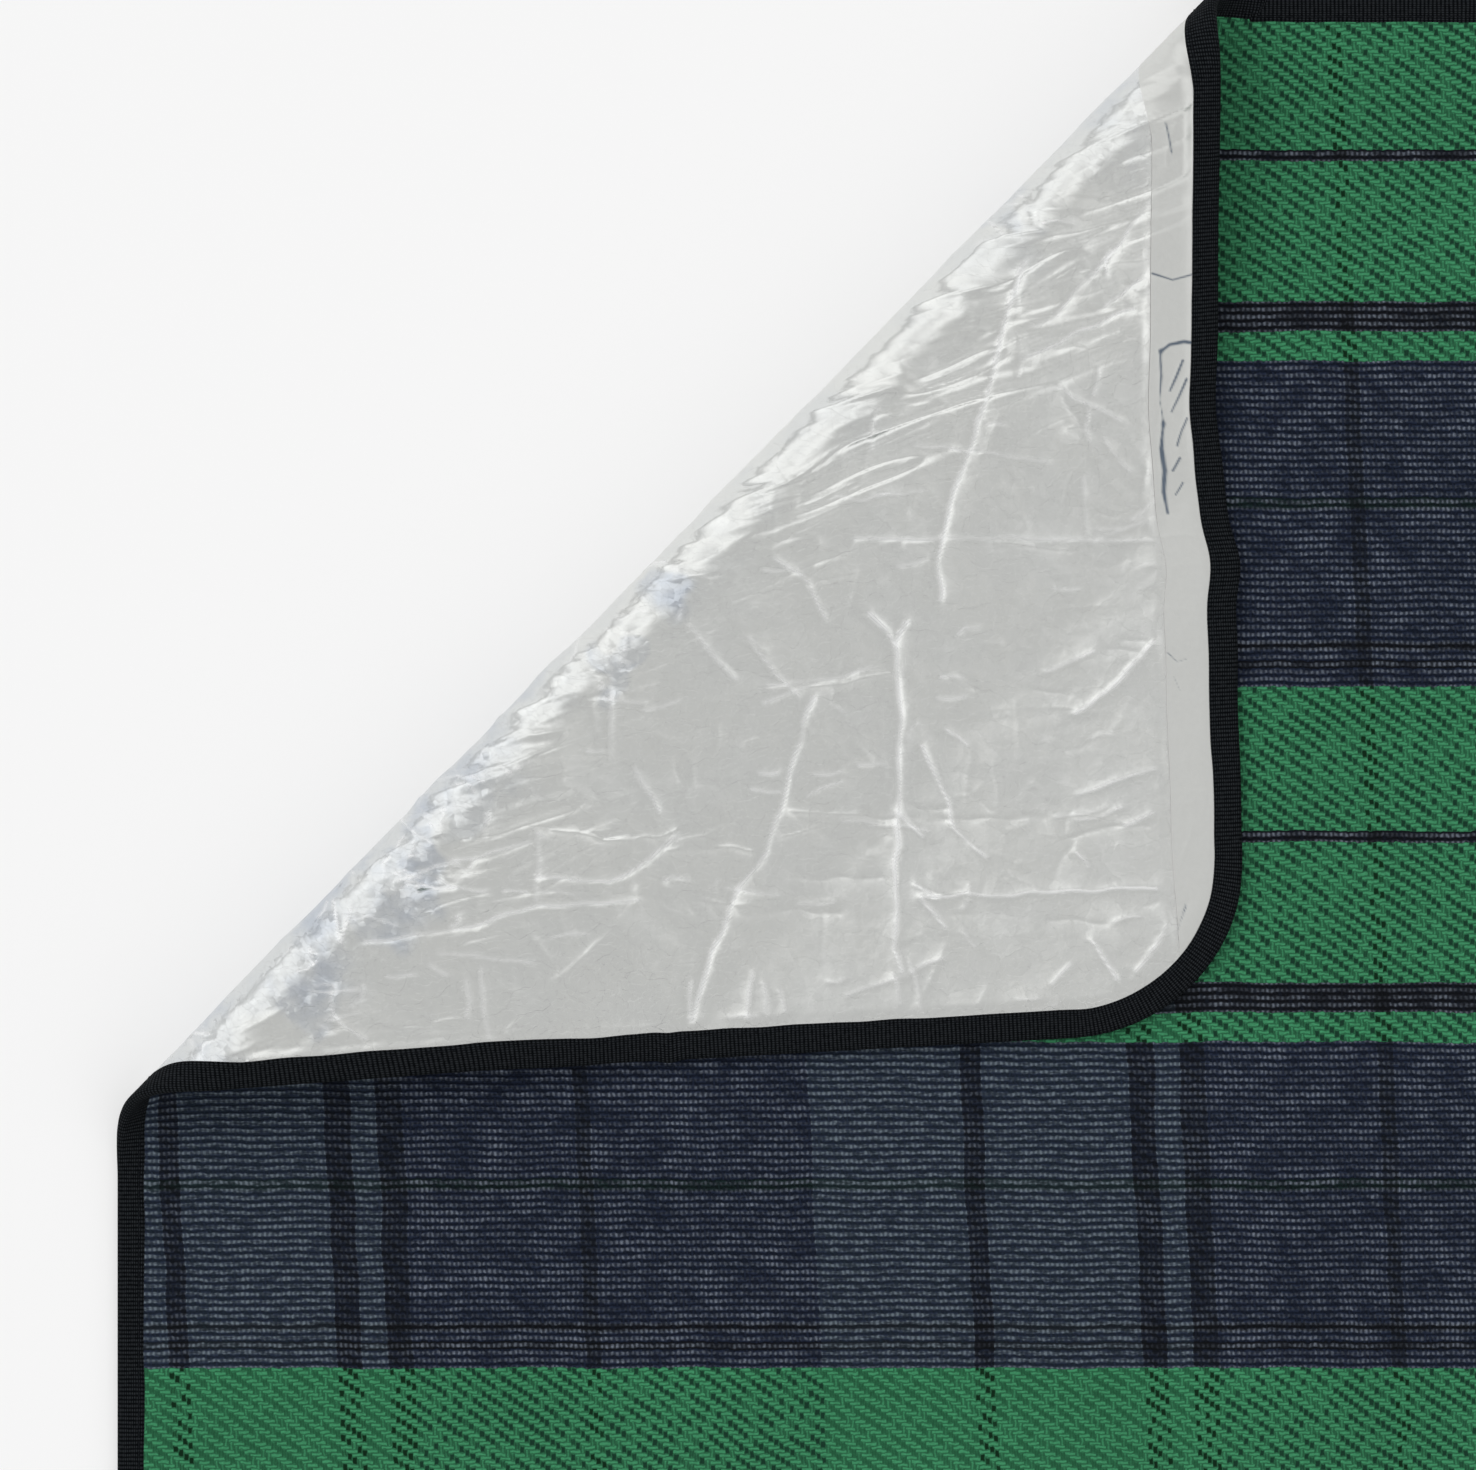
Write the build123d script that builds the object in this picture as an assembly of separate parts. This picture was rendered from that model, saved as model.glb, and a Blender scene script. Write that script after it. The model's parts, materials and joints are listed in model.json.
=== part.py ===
from build123d import *
import math
import os

# Foil-backed tartan picnic blanket, lying flat with one corner folded over, in millimetres.
# +X runs along the long side, +Y along the short side, +Z is up and z = 0 is the ground.
# Every layer is drawn flat and whole, cut into the panels that fold, and laid where each panel rests.

# The sheet, as it is cut
LENGTH = 1500.0
WIDTH = 1300.0
CORNER_RADIUS = 60.0

# What the sheet is made of, from the ground up
FILM = 0.2
FOAM = 2.4
CLOTH = 1.2
THICKNESS = FILM + FOAM + CLOTH

# The woven tape bound over the edge, pressed in until it is flush with both faces
TAPE = 0.6
TAPE_TOP_LEG = 9.0
TAPE_UNDER_LEG = 9.5
STITCH_INSET = 1.8
THREAD_WIDTH = 0.5
THREAD_HEIGHT = 0.2

# The plain strip that finishes the film along both long edges
EDGE_STRIP = 14.0

# The letter fold: two outer panels turn over the middle one about raised axes
PANEL_FOLD_X = 250.0
LEFT_FOLD_HEIGHT = 18.2
RIGHT_FOLD_HEIGHT = 22.4

# The folded corner: a roll of three bends, a ramp down from it, and the flap lying on the cloth
FOLD_ANGLE = 45.6
CORNER_TO_FOLD = 265.8
ROLL_RADIUS = 11.25
ROLL_BENDS = (60.0, 66.0, 68.0)
FLAP_REST_GAP = 0.4

# Space left where two panels meet
PANEL_GAP = 0.2

# The tightest corner drawn, the least volume kept as a piece, and a length past the whole sheet
LEAST_RADIUS = 1.0
LEAST_VOLUME = 1.0
REACH = 2.0 * LENGTH

RAMP_SLOPE = sum(ROLL_BENDS) - 180.0
TANGENTS = [ROLL_RADIUS * math.tan(math.radians(bend / 2)) for bend in ROLL_BENDS]
STRIP_1 = TANGENTS[0] + TANGENTS[1]
STRIP_2 = TANGENTS[1] + TANGENTS[2]
TURN_1 = ROLL_BENDS[0]
TURN_2 = ROLL_BENDS[0] + ROLL_BENDS[1]
TURN_3 = sum(ROLL_BENDS)
ROLL_HEIGHT = (STRIP_1 * math.sin(math.radians(TURN_1))
               + STRIP_2 * math.sin(math.radians(TURN_2)))
RAMP = ((ROLL_HEIGHT - FLAP_REST_GAP - THICKNESS * (1 - math.cos(math.radians(RAMP_SLOPE))))
        / math.sin(math.radians(RAMP_SLOPE)))


def sheet_outline(inset):
    """The sheet's rounded outline, drawn in by a distance."""
    radius = max(CORNER_RADIUS - inset, LEAST_RADIUS)
    return RectangleRounded(LENGTH - 2 * inset, WIDTH - 2 * inset, radius)


def slab(inset, low, high):
    """The sheet's outline, drawn in by a distance and raised between two heights."""
    return Pos(0, 0, low) * extrude(sheet_outline(inset), high - low)


def tartan_cloth():
    """The woven top layer, which steps down under the tape's upper leg."""
    top = THICKNESS
    middle = slab(TAPE_TOP_LEG, top - CLOTH, top)
    margin = slab(TAPE, top - TAPE - CLOTH, top - TAPE)
    hollow = slab(TAPE_TOP_LEG + CLOTH, top - TAPE - CLOTH, top - CLOTH)
    return middle + margin - hollow


def foam_core():
    """The soft layer, pressed thinner between the tape's two legs."""
    body = slab(TAPE, TAPE + FILM, THICKNESS - TAPE - CLOTH)
    under = slab(TAPE_UNDER_LEG + FILM, FILM, TAPE + FILM)
    over = slab(TAPE_TOP_LEG + CLOTH, THICKNESS - TAPE - CLOTH, THICKNESS - CLOTH)
    return under + body + over


def underside_film():
    """The metallised film, which steps up over the tape's lower leg."""
    margin = slab(TAPE, TAPE, TAPE + FILM)
    middle = slab(TAPE_UNDER_LEG, 0, TAPE + FILM)
    hollow = slab(TAPE_UNDER_LEG + FILM, FILM, TAPE + FILM)
    return margin + middle - hollow


def edge_band(side):
    """The space along one long edge where the finishing strip takes the film's place."""
    depth = TAPE_UNDER_LEG + EDGE_STRIP
    return Pos(0, side * (WIDTH - depth) / 2, 0) * Box(REACH, depth, THICKNESS)


def thread_row(inset, low, high):
    """One closed line of stitching, parallel to the edge."""
    return slab(inset, low, high) - slab(inset + THREAD_WIDTH, low, high)


def seam_thread():
    """The lockstitch seen on the tape's upper leg and on its lower leg."""
    upper = thread_row(TAPE_TOP_LEG - STITCH_INSET, THICKNESS - THREAD_HEIGHT, THICKNESS)
    lower = thread_row(TAPE_UNDER_LEG - STITCH_INSET, 0, THREAD_HEIGHT)
    return upper + lower


def binding_tape():
    """The tape, folded round the edge in a U."""
    whole = slab(0, 0, THICKNESS)
    core = slab(TAPE, TAPE, THICKNESS - TAPE)
    upper_window = slab(TAPE_TOP_LEG, THICKNESS - TAPE, THICKNESS)
    lower_window = slab(TAPE_UNDER_LEG, 0, TAPE)
    return whole - core - upper_window - lower_window


def whole_layers():
    """Every layer of the sheet, flat and in one piece."""
    film = underside_film()
    thread = seam_thread()
    bands = {"rear": edge_band(1), "front": edge_band(-1)}
    layers = {
        "tartan_cloth": tartan_cloth(),
        "foam_core": foam_core(),
        "foil_film": film - bands["rear"] - bands["front"],
        "binding_tape": binding_tape() - thread,
        "seam_thread": thread,
    }
    for place, band in bands.items():
        layers[f"edge_strip_{place}"] = film & band
    return layers


# The fold line's frame: the local X axis points out to the sheet's corner, Y along the fold
OUTWARD = (-math.sin(math.radians(FOLD_ANGLE)), math.cos(math.radians(FOLD_ANGLE)))
FOLD_POINT = (-LENGTH / 2 - CORNER_TO_FOLD * OUTWARD[0], WIDTH / 2 - CORNER_TO_FOLD * OUTWARD[1])
FOLD_FRAME = Location((FOLD_POINT[0], FOLD_POINT[1], 0), (0, 0, FOLD_ANGLE + 90.0))


def across_x(low, high):
    """The space between two planes across the length."""
    gap = PANEL_GAP / 2
    low = max(low + gap, -LENGTH)
    high = min(high - gap, LENGTH)
    return Pos((low + high) / 2, 0, 0) * Box(high - low, REACH, REACH)


def along_fold(low, high):
    """The space between two planes parallel to the corner's fold."""
    gap = PANEL_GAP / 2
    low = low + gap
    high = high - gap
    return FOLD_FRAME * Pos((low + high) / 2, 0, 0) * Box(high - low, REACH, REACH)


def turn_about(s, z, degrees):
    """A turn about a line parallel to the fold, at distance s outward and height z."""
    hinge = FOLD_FRAME * Pos(s, 0, z)
    return hinge * Rot(0, -degrees, 0) * hinge.inverse()


def panel_spaces():
    """Each panel's name, with the space that cuts it out of the flat sheet."""
    edge = PANEL_FOLD_X
    steps = [0.0, STRIP_1, STRIP_1 + STRIP_2, STRIP_1 + STRIP_2 + RAMP, REACH / 2]
    left = across_x(-LENGTH, -edge)
    names = ["roll_outer", "roll_inner", "ramp", "corner_flap"]
    spaces = {
        "middle": across_x(-edge, edge),
        "right": across_x(edge, LENGTH),
        "left": left & along_fold(-REACH / 2, 0.0),
    }
    for name, low, high in zip(names, steps, steps[1:]):
        spaces[name] = left & along_fold(low, high)
    return spaces


def panel_places():
    """Where each panel rests, as a move from its place in the flat sheet."""
    first = turn_about(0.0, THICKNESS, ROLL_BENDS[0])
    second = first * turn_about(STRIP_1, THICKNESS, ROLL_BENDS[1])
    third = second * turn_about(STRIP_1 + STRIP_2, THICKNESS, ROLL_BENDS[2])
    flap = third * turn_about(STRIP_1 + STRIP_2 + RAMP, 0.0, -RAMP_SLOPE)
    flat = Location()
    return {
        "middle": flat,
        "right": flat,
        "left": flat,
        "roll_outer": first,
        "roll_inner": second,
        "ramp": third,
        "corner_flap": flap,
    }


def hinge_lines():
    """A point on each hinge line and its direction, at rest, in metres."""
    places = panel_places()
    along = (FOLD_FRAME * Pos(0, 1, 0)).position - FOLD_FRAME.position
    stations = {
        "roll_outer": ("left", 0.0, THICKNESS),
        "roll_inner": ("roll_outer", STRIP_1, THICKNESS),
        "ramp": ("roll_inner", STRIP_1 + STRIP_2, THICKNESS),
        "corner_flap": ("ramp", STRIP_1 + STRIP_2 + RAMP, 0.0),
    }
    lines = {
        "left_panel": (Vector(-PANEL_FOLD_X, 0, LEFT_FOLD_HEIGHT) / 1000, Vector(0, 1, 0)),
        "right_panel": (Vector(PANEL_FOLD_X, 0, RIGHT_FOLD_HEIGHT) / 1000, Vector(0, -1, 0)),
    }
    for child, (parent, s, z) in stations.items():
        point = (places[parent] * FOLD_FRAME * Pos(s, 0, z)).position
        lines[child] = (point / 1000, along)
    return lines


def main():
    os.makedirs("parts", exist_ok=True)
    spaces = panel_spaces()
    places = panel_places()
    for layer_name, layer in whole_layers().items():
        for panel, space in spaces.items():
            piece = layer & space
            if piece is None or piece.volume < LEAST_VOLUME:
                continue
            export_step(places[panel] * piece, f"parts/{layer_name}_{panel}.step")
    for child, (point, along) in hinge_lines().items():
        print(child, [round(v, 6) for v in point], [round(v, 6) for v in along])
    print("roll height", round(ROLL_HEIGHT, 3), "ramp", round(RAMP, 3), "slope", RAMP_SLOPE)


main()
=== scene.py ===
import json
import math

import bpy
import numpy as np
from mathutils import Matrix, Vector


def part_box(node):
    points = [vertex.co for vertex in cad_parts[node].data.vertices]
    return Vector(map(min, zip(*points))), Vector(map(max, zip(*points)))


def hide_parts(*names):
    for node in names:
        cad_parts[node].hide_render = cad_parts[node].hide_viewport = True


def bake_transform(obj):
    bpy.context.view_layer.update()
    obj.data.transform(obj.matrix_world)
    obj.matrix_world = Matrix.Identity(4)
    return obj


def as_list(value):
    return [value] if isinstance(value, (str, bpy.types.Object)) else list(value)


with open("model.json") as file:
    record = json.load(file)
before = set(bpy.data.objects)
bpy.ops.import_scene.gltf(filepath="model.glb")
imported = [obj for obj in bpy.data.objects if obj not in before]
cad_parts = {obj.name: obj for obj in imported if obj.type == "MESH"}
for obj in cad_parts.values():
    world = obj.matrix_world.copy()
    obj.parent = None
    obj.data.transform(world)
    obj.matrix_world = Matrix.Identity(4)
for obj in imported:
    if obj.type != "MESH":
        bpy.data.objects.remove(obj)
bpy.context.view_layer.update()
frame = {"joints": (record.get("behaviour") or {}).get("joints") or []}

# A foil-backed tartan picnic blanket with one corner folded over, in metres, in the imported model's frame.
# Every layer is made from flat coordinates, the place a point has in the blanket as it was cut, and
# place() carries them to where they rest. Each layer is cut into pieces, each over one joint.

MM = 0.001

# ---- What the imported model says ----

JOINTS = {joint["name"]: joint for joint in frame["joints"]}
CORNER_JOINTS = ["corner_unroll_1", "corner_unroll_2", "corner_unroll_3", "corner_lay_flat"]
HINGES = [np.array(JOINTS[name]["pos_m"], float) for name in CORNER_JOINTS]
BENDS = [math.radians(JOINTS[name]["range_deg"][1]) for name in CORNER_JOINTS[:3]]
SLOPE = -math.radians(JOINTS["corner_lay_flat"]["range_deg"][0])
ALONG = np.array(JOINTS["corner_unroll_1"]["axis"][:2], float)
OUTWARD = np.array([ALONG[1], -ALONG[0]])
FOLD_X = JOINTS["right_fold"]["pos_m"][0]

# The outer thirds bend over this much cloth on each side of their folds
FOLD_ZONE = 14 * MM
FOLD_ZONES = [-FOLD_X - FOLD_ZONE, -FOLD_X + FOLD_ZONE, FOLD_X - FOLD_ZONE, FOLD_X + FOLD_ZONE]

# Half the sheet's length and width, its thickness, and the sizes of its edge
HALF = np.array(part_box("binding_tape_right")[1])[:2]
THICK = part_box("tartan_cloth_middle")[1].z
CORNER_RADIUS = 60 * MM
UPPER_LEG = 9 * MM
UNDER_LEG = 9.5 * MM
EDGE_STRIP = 14 * MM

# The layers' depths below the tartan face. The tape stands a little proud of the cloth and the film.
CLOTH_TOP = 0.25 * MM
CLOTH_BOTTOM = 1.2 * MM
FOAM_BOTTOM = THICK - 0.70 * MM
FILM_FACE = THICK - 0.35 * MM
FILM_THICK = 0.15 * MM
TAPE_THICK = 0.6 * MM

# ---- The folded shape: s runs outward across the fold from the first hinge, e runs along the fold ----

STRIPS = [np.linalg.norm(HINGES[i + 1] - HINGES[i]) for i in range(2)]
ROLL_RADIUS = STRIPS[0] / (math.tan(BENDS[0] / 2) + math.tan(BENDS[1] / 2))
TANGENTS = [ROLL_RADIUS * math.tan(bend / 2) for bend in BENDS]
RAMP_ANGLE = sum(BENDS)
RAMP_STEP = HINGES[3] - HINGES[2]
RAMP = (RAMP_STEP[:2] @ OUTWARD) * math.cos(RAMP_ANGLE) + RAMP_STEP[2] * math.sin(RAMP_ANGLE)
LAY_RADIUS = 60 * MM
LAY_TANGENT = LAY_RADIUS * math.tan(SLOPE / 2)

ARC_1_END = TANGENTS[0]
ARC_2_END = ARC_1_END + 2 * TANGENTS[1]
ARC_3_END = ARC_2_END + 2 * TANGENTS[2]
LAY_LINE = sum(STRIPS) + RAMP
RAMP_SPLIT = (ARC_3_END + LAY_LINE - LAY_TANGENT) / 2
ROLL_SIDE = -60 * MM
CORNER_REACH = (np.array([-HALF[0], HALF[1]]) - HINGES[0][:2]) @ OUTWARD


def smooth(x, low, high):
    """0 below low, 1 above high, and a smooth step between."""
    t = np.clip((x - low) / (high - low), 0, 1)
    return t * t * (3 - 2 * t)


def fold_coordinates(u, v):
    """How far flat points lie outward of the fold, and along it."""
    x, y = u - HINGES[0][0], v - HINGES[0][1]
    return x * OUTWARD[0] + y * OUTWARD[1], x * ALONG[0] + y * ALONG[1]


def flat_coordinates(s, e):
    """The flat points at a distance outward of the fold and along it."""
    u = HINGES[0][0] + s * OUTWARD[0] + e * ALONG[0]
    v = HINGES[0][1] + s * OUTWARD[1] + e * ALONG[1]
    return u, v


def rolled_section(s, depth):
    """The folded corner's section: where points s out from the fold and depth below the cloth's face rest."""
    q = np.array(s, float)
    z = THICK - depth
    start, turned = -TANGENTS[0], 0.0
    face_q, face_z = start, THICK
    for bend, tangent in zip(BENDS, TANGENTS):
        centre_q = face_q - ROLL_RADIUS * math.sin(turned)
        centre_z = face_z + ROLL_RADIUS * math.cos(turned)
        here = (s >= start) & (s < start + 2 * tangent)
        angle = turned + (s - start) / (2 * tangent) * bend
        q = np.where(here, centre_q + (ROLL_RADIUS + depth) * np.sin(angle), q)
        z = np.where(here, centre_z - (ROLL_RADIUS + depth) * np.cos(angle), z)
        turned += bend
        face_q = centre_q + ROLL_RADIUS * math.sin(turned)
        face_z = centre_z - ROLL_RADIUS * math.cos(turned)
        start += 2 * tangent
    down_q, down_z = math.sin(turned), -math.cos(turned)
    ramp_end = LAY_LINE - LAY_TANGENT
    here = (s >= start) & (s < ramp_end)
    q = np.where(here, face_q + (s - start) * math.cos(turned) + depth * down_q, q)
    z = np.where(here, face_z + (s - start) * math.sin(turned) + depth * down_z, z)
    centre_q = face_q + (ramp_end - start) * math.cos(turned) + (THICK + LAY_RADIUS) * down_q
    centre_z = face_z + (ramp_end - start) * math.sin(turned) + (THICK + LAY_RADIUS) * down_z
    here = (s >= ramp_end) & (s < ramp_end + 2 * LAY_TANGENT)
    angle = turned - (s - ramp_end) / (2 * LAY_TANGENT) * SLOPE
    q = np.where(here, centre_q - (LAY_RADIUS + THICK - depth) * np.sin(angle), q)
    z = np.where(here, centre_z + (LAY_RADIUS + THICK - depth) * np.cos(angle), z)
    turned -= SLOPE
    here = s >= ramp_end + 2 * LAY_TANGENT
    q = np.where(here, centre_q - LAY_RADIUS * math.sin(turned) - (s - ramp_end - 2 * LAY_TANGENT), q)
    z = np.where(here, centre_z + LAY_RADIUS * math.cos(turned) - (THICK - depth), z)
    return q, z


def bump(x, centre, half_width):
    """A rounded hump, 1 at its centre."""
    return np.exp(-(((x - centre) / half_width) ** 2))


def fade(distance, reach):
    """1 at an edge, dying away with the distance in from it."""
    return np.exp(-np.maximum(distance, 0) / reach)


def from_edges(x, y):
    """How far points lie right of the sheet's left edge and in front of its rear edge, in millimetres."""
    return (x + HALF[0]) / MM, (HALF[1] - y) / MM


# The soft corner doesn't lie back in a true mirror image. It is turned a little in its own plane and
# pulled along the fold, and its rear edge bulges where the stiff tape has kinked.
FLAP_PULL = np.array([10.4 * MM, 7.7 * MM])
FLAP_TURN = math.radians(1.96)
FLAP_CENTRE = np.array([-0.5, 0.45])

# The rear edge's bulges: how far out, how far from the left edge and half width, in millimetres
BULGES = [(3.4, 153, 11), (1.2, 128, 16), (-1.6, 205, 17), (-1.0, 58, 18)]

# The left edge's one nick, in the same terms, but from the rear edge
NICK, NICK_PLACE, NICK_WIDTH = 1.0, 193, 3


def slack(u, v, s, e, x, y):
    """How far the folded corner lies from where a rigid one would, in the ground plane."""
    reach = e / (240 * MM)
    pull_x = FLAP_PULL[0] - FLAP_TURN * (y - FLAP_CENTRE[1])
    pull_y = FLAP_PULL[1] + FLAP_TURN * (x - FLAP_CENTRE[0])
    slide = -(pull_x * ALONG[0] + pull_y * ALONG[1])
    spread = pull_x * OUTWARD[0] + pull_y * OUTWARD[1]
    slide = slide * smooth(s, (6 + 22 * reach) * MM, (72 + 38 * reach) * MM)
    spread = spread * smooth(s, ARC_3_END, 110 * MM)
    from_left, from_rear = from_edges(u, v)
    bulge = sum(out * bump(from_left, centre, half_width) for out, centre, half_width in BULGES)
    bulge = bulge * MM * fade(from_rear, 70) * smooth(s, 40 * MM, 90 * MM)
    nick = NICK * MM * bump(from_rear, NICK_PLACE, NICK_WIDTH) * fade(from_left, 12)
    dx = spread * OUTWARD[0] - slide * ALONG[0] + bulge
    dy = spread * OUTWARD[1] - slide * ALONG[1] - nick * smooth(s, 40 * MM, 70 * MM)
    return dx, dy


def lift(u, v, s):
    """How far the folded corner rises off the cloth below it, where it doesn't quite lie flat."""
    from_left, from_rear = from_edges(u, v)
    at_kink = 1.2 * bump(from_left, 150, 30) * fade(from_rear, 45)
    at_tip = 0.4 * bump(from_left, 20, 60) * bump(from_rear, 20, 60)
    in_middle = 0.8 * bump(from_left, 110, 70) * bump(from_rear, 130, 60)
    at_nick = 0.3 * bump(from_rear, 190, 35) * fade(from_left, 50)
    return (at_kink + at_tip + in_middle + at_nick) * MM * smooth(s, 70 * MM, 140 * MM)


def place(u, v, depth):
    """Where the flat points rest, at a depth below the tartan face."""
    u, v = np.asarray(u, float), np.asarray(v, float)
    depth = np.broadcast_to(depth, u.shape)
    s, e = fold_coordinates(u, v)
    in_corner = (u < -FOLD_X) & (s > -TANGENTS[0])
    s_safe = np.where(in_corner, s, -1.0)
    q, z = rolled_section(s_safe, depth)
    q = np.where(in_corner, q, s)
    x = HINGES[0][0] + q * OUTWARD[0] + e * ALONG[0]
    y = HINGES[0][1] + q * OUTWARD[1] + e * ALONG[1]
    dx, dy = slack(u, v, s_safe, e, x, y)
    x = np.where(in_corner, x + dx, u)
    y = np.where(in_corner, y + dy, v)
    return np.stack([x, y, z + np.where(in_corner, lift(u, v, s_safe), 0)], -1)


# ---- The camera, over the folded corner ----

VIEW_CENTRE = (-HALF[0] + 204.6 * MM, HALF[1] - 243.9 * MM)
VIEW_WIDTH = 487.1 * MM
CAMERA_HEIGHT = 2.4
SENSOR = 36.0

camera_data = bpy.data.cameras.new("camera")
camera_data.sensor_width = SENSOR
camera_data.lens = SENSOR * CAMERA_HEIGHT / VIEW_WIDTH
camera = bpy.data.objects.new("camera", camera_data)
camera.location = (VIEW_CENTRE[0], VIEW_CENTRE[1], CAMERA_HEIGHT)
bpy.context.scene.collection.objects.link(camera)
bpy.context.scene.camera = camera

# ---- Noise for the crinkled film ----


def noise(x, y, seed):
    """Smooth noise from 0 to 1 with a cell of 1, the same on every run."""
    size = 256
    table = np.random.default_rng(seed).random((size, size))
    ix, iy = np.floor(x).astype(int), np.floor(y).astype(int)
    fx, fy = x - ix, y - iy
    fx, fy = fx * fx * (3 - 2 * fx), fy * fy * (3 - 2 * fy)
    low = table[ix % size, iy % size] * (1 - fx) + table[(ix + 1) % size, iy % size] * fx
    high = table[ix % size, (iy + 1) % size] * (1 - fx) + table[(ix + 1) % size, (iy + 1) % size] * fx
    return low * (1 - fy) + high * fy


def turned(x, y, degrees):
    """Coordinates along and across a direction."""
    c, s = math.cos(math.radians(degrees)), math.sin(math.radians(degrees))
    return x * c + y * s, -x * s + y * c


def sharp_waves(x, y, degrees, length, seed):
    """Straight facets that meet in sharp creases, from -1 to 1, wandering a little."""
    along, across = turned(x, y, degrees)
    phase = across / length + 0.9 * noise(along / (3 * length), across / (3 * length), seed)
    return 4 * np.abs(phase - np.floor(phase) - 0.5) - 1


# The creases that stand out: height and half width, and points right of the blanket's left edge and in
# front of its rear edge, all in millimetres. A negative height is a dent.
CREASES = [
    (0.55, 1.5, [(298, 90), (291, 110), (286, 133), (281, 147), (275, 166), (270, 186), (271, 199)]),
    (0.40, 1.3, [(339, 69), (329, 84), (308, 107)]),
    (0.35, 1.2, [(337, 94), (324, 104)]),
    (0.35, 1.2, [(334, 104), (298, 120)]),
    (0.35, 1.2, [(342, 166), (334, 173)]),
    (0.45, 1.3, [(342, 213), (327, 229), (316, 237)]),
    (0.55, 1.3, [(248, 204), (256, 214), (260, 207)]),
    (0.60, 1.5, [(256, 214), (258, 240), (257, 270), (256, 315), (259, 321)]),
    (0.45, 1.3, [(257, 270), (265, 277)]),
    (0.40, 1.2, [(263, 293), (270, 297)]),
    (0.40, 1.2, [(265, 298), (273, 308)]),
    (0.55, 1.3, [(265, 247), (271, 260), (276, 274), (286, 284)]),
    (0.50, 1.4, [(229, 232), (223, 252), (214, 282), (205, 295), (194, 321), (189, 338)]),
    (0.40, 1.3, [(217, 186), (227, 194), (233, 206)]),
    (0.35, 1.2, [(188, 208), (204, 226)]),
    (0.30, 1.2, [(242, 180), (290, 179), (341, 180)]),
    (-0.35, 1.3, [(222, 269), (262, 272), (304, 271)]),
    (-0.45, 1.2, [(182, 282), (196, 281), (209, 282)]),
    (-0.35, 1.2, [(222, 291), (251, 291)]),
    (0.45, 1.2, [(265, 297), (305, 296), (342, 294)]),
    (0.35, 1.2, [(342, 255), (316, 263)]),
    (0.35, 1.2, [(341, 269), (332, 274)]),
    (-0.40, 1.3, [(227, 229), (240, 227), (255, 224)]),
    (-0.35, 1.2, [(207, 247), (223, 242)]),
    (-0.30, 1.2, [(199, 254), (210, 249)]),
    (0.40, 1.3, [(83, 311), (110, 308), (139, 300), (172, 298)]),
    (-0.45, 1.2, [(172, 298), (156, 315), (129, 341)]),
    (-0.45, 1.3, [(144, 275), (160, 278), (179, 278), (185, 275)]),
    (0.40, 1.3, [(139, 290), (162, 292), (174, 286), (185, 277)]),
    (-0.45, 1.3, [(172, 294), (202, 300), (238, 303)]),
    (0.40, 1.4, [(93, 292), (110, 285), (136, 279)]),
    (0.35, 1.2, [(171, 255), (179, 269)]),
    (0.45, 1.2, [(73, 298), (75, 312), (79, 300)]),
    (0.40, 1.2, [(73, 336), (83, 343)]),
    (-0.20, 1.2, [(85, 340), (130, 340), (176, 340)]),
    (0.25, 1.5, [(163, 216), (163, 252)]),
    (0.25, 1.5, [(139, 275), (139, 298)]),
    (0.35, 1.2, [(189, 325), (188, 338)]),
    (0.35, 1.2, [(209, 322), (208, 336)]),
    (0.35, 1.2, [(213, 326), (215, 336)]),
    (0.35, 1.2, [(218, 328), (221, 335)]),
    (0.35, 1.2, [(256, 322), (257, 332)]),
    (0.45, 1.2, [(321, 311), (329, 325)]),
    (0.35, 1.2, [(308, 326), (314, 320)]),
    (0.40, 1.2, [(336, 322), (346, 306)]),
    (0.30, 1.2, [(340, 330), (330, 336)]),
]

# The cracks in the smooth strip along the rear edge, and its one raised fold, in the same terms
STRIP_CRACKS = [
    (-0.26, 0.5, [(340, 93), (347, 95), (354, 93)]),
    (-0.42, 0.5, [(343.5, 118), (346, 116), (351, 115), (355, 115.5)]),
    (-0.34, 0.45, [(343, 118), (343.6, 126), (343.2, 134), (344.2, 142)]),
    (-0.46, 0.55, [(344.2, 142), (343.9, 150), (345, 157), (344.7, 164), (346, 171)]),
    (-0.32, 0.42, [(350.4, 121), (348.4, 126), (346.4, 131)]),
    (-0.32, 0.42, [(351.8, 127), (349.2, 133), (346.8, 138)]),
    (-0.28, 0.42, [(352, 140), (350.4, 144), (349, 149)]),
    (-0.28, 0.42, [(349.8, 153), (347.6, 157)]),
    (-0.24, 0.42, [(350.8, 161), (348.6, 165)]),
    (0.30, 1.6, [(343, 179), (352, 178), (360, 180)]),
    (-0.26, 0.5, [(346, 217), (349, 220), (352, 219)]),
    (-0.22, 0.5, [(348, 225), (350, 229)]),
    (-0.22, 0.6, [(344, 44), (346, 54)]),
    (-0.22, 0.6, [(352, 300), (348, 312)]),
]

# A crease is felt up to this far from its line, and wanders this much from side to side
CREASE_REACH = 9.0
CREASE_WANDER = 1.6
CRACK_WANDER = 0.5


def from_segment(x, y, start, end):
    """How far points lie from a straight stretch."""
    dx, dy = end[0] - start[0], end[1] - start[1]
    length_2 = dx * dx + dy * dy
    share = np.clip(((x - start[0]) * dx + (y - start[1]) * dy) / length_2, 0, 1)
    return np.hypot(x - start[0] - share * dx, y - start[1] - share * dy)


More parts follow.
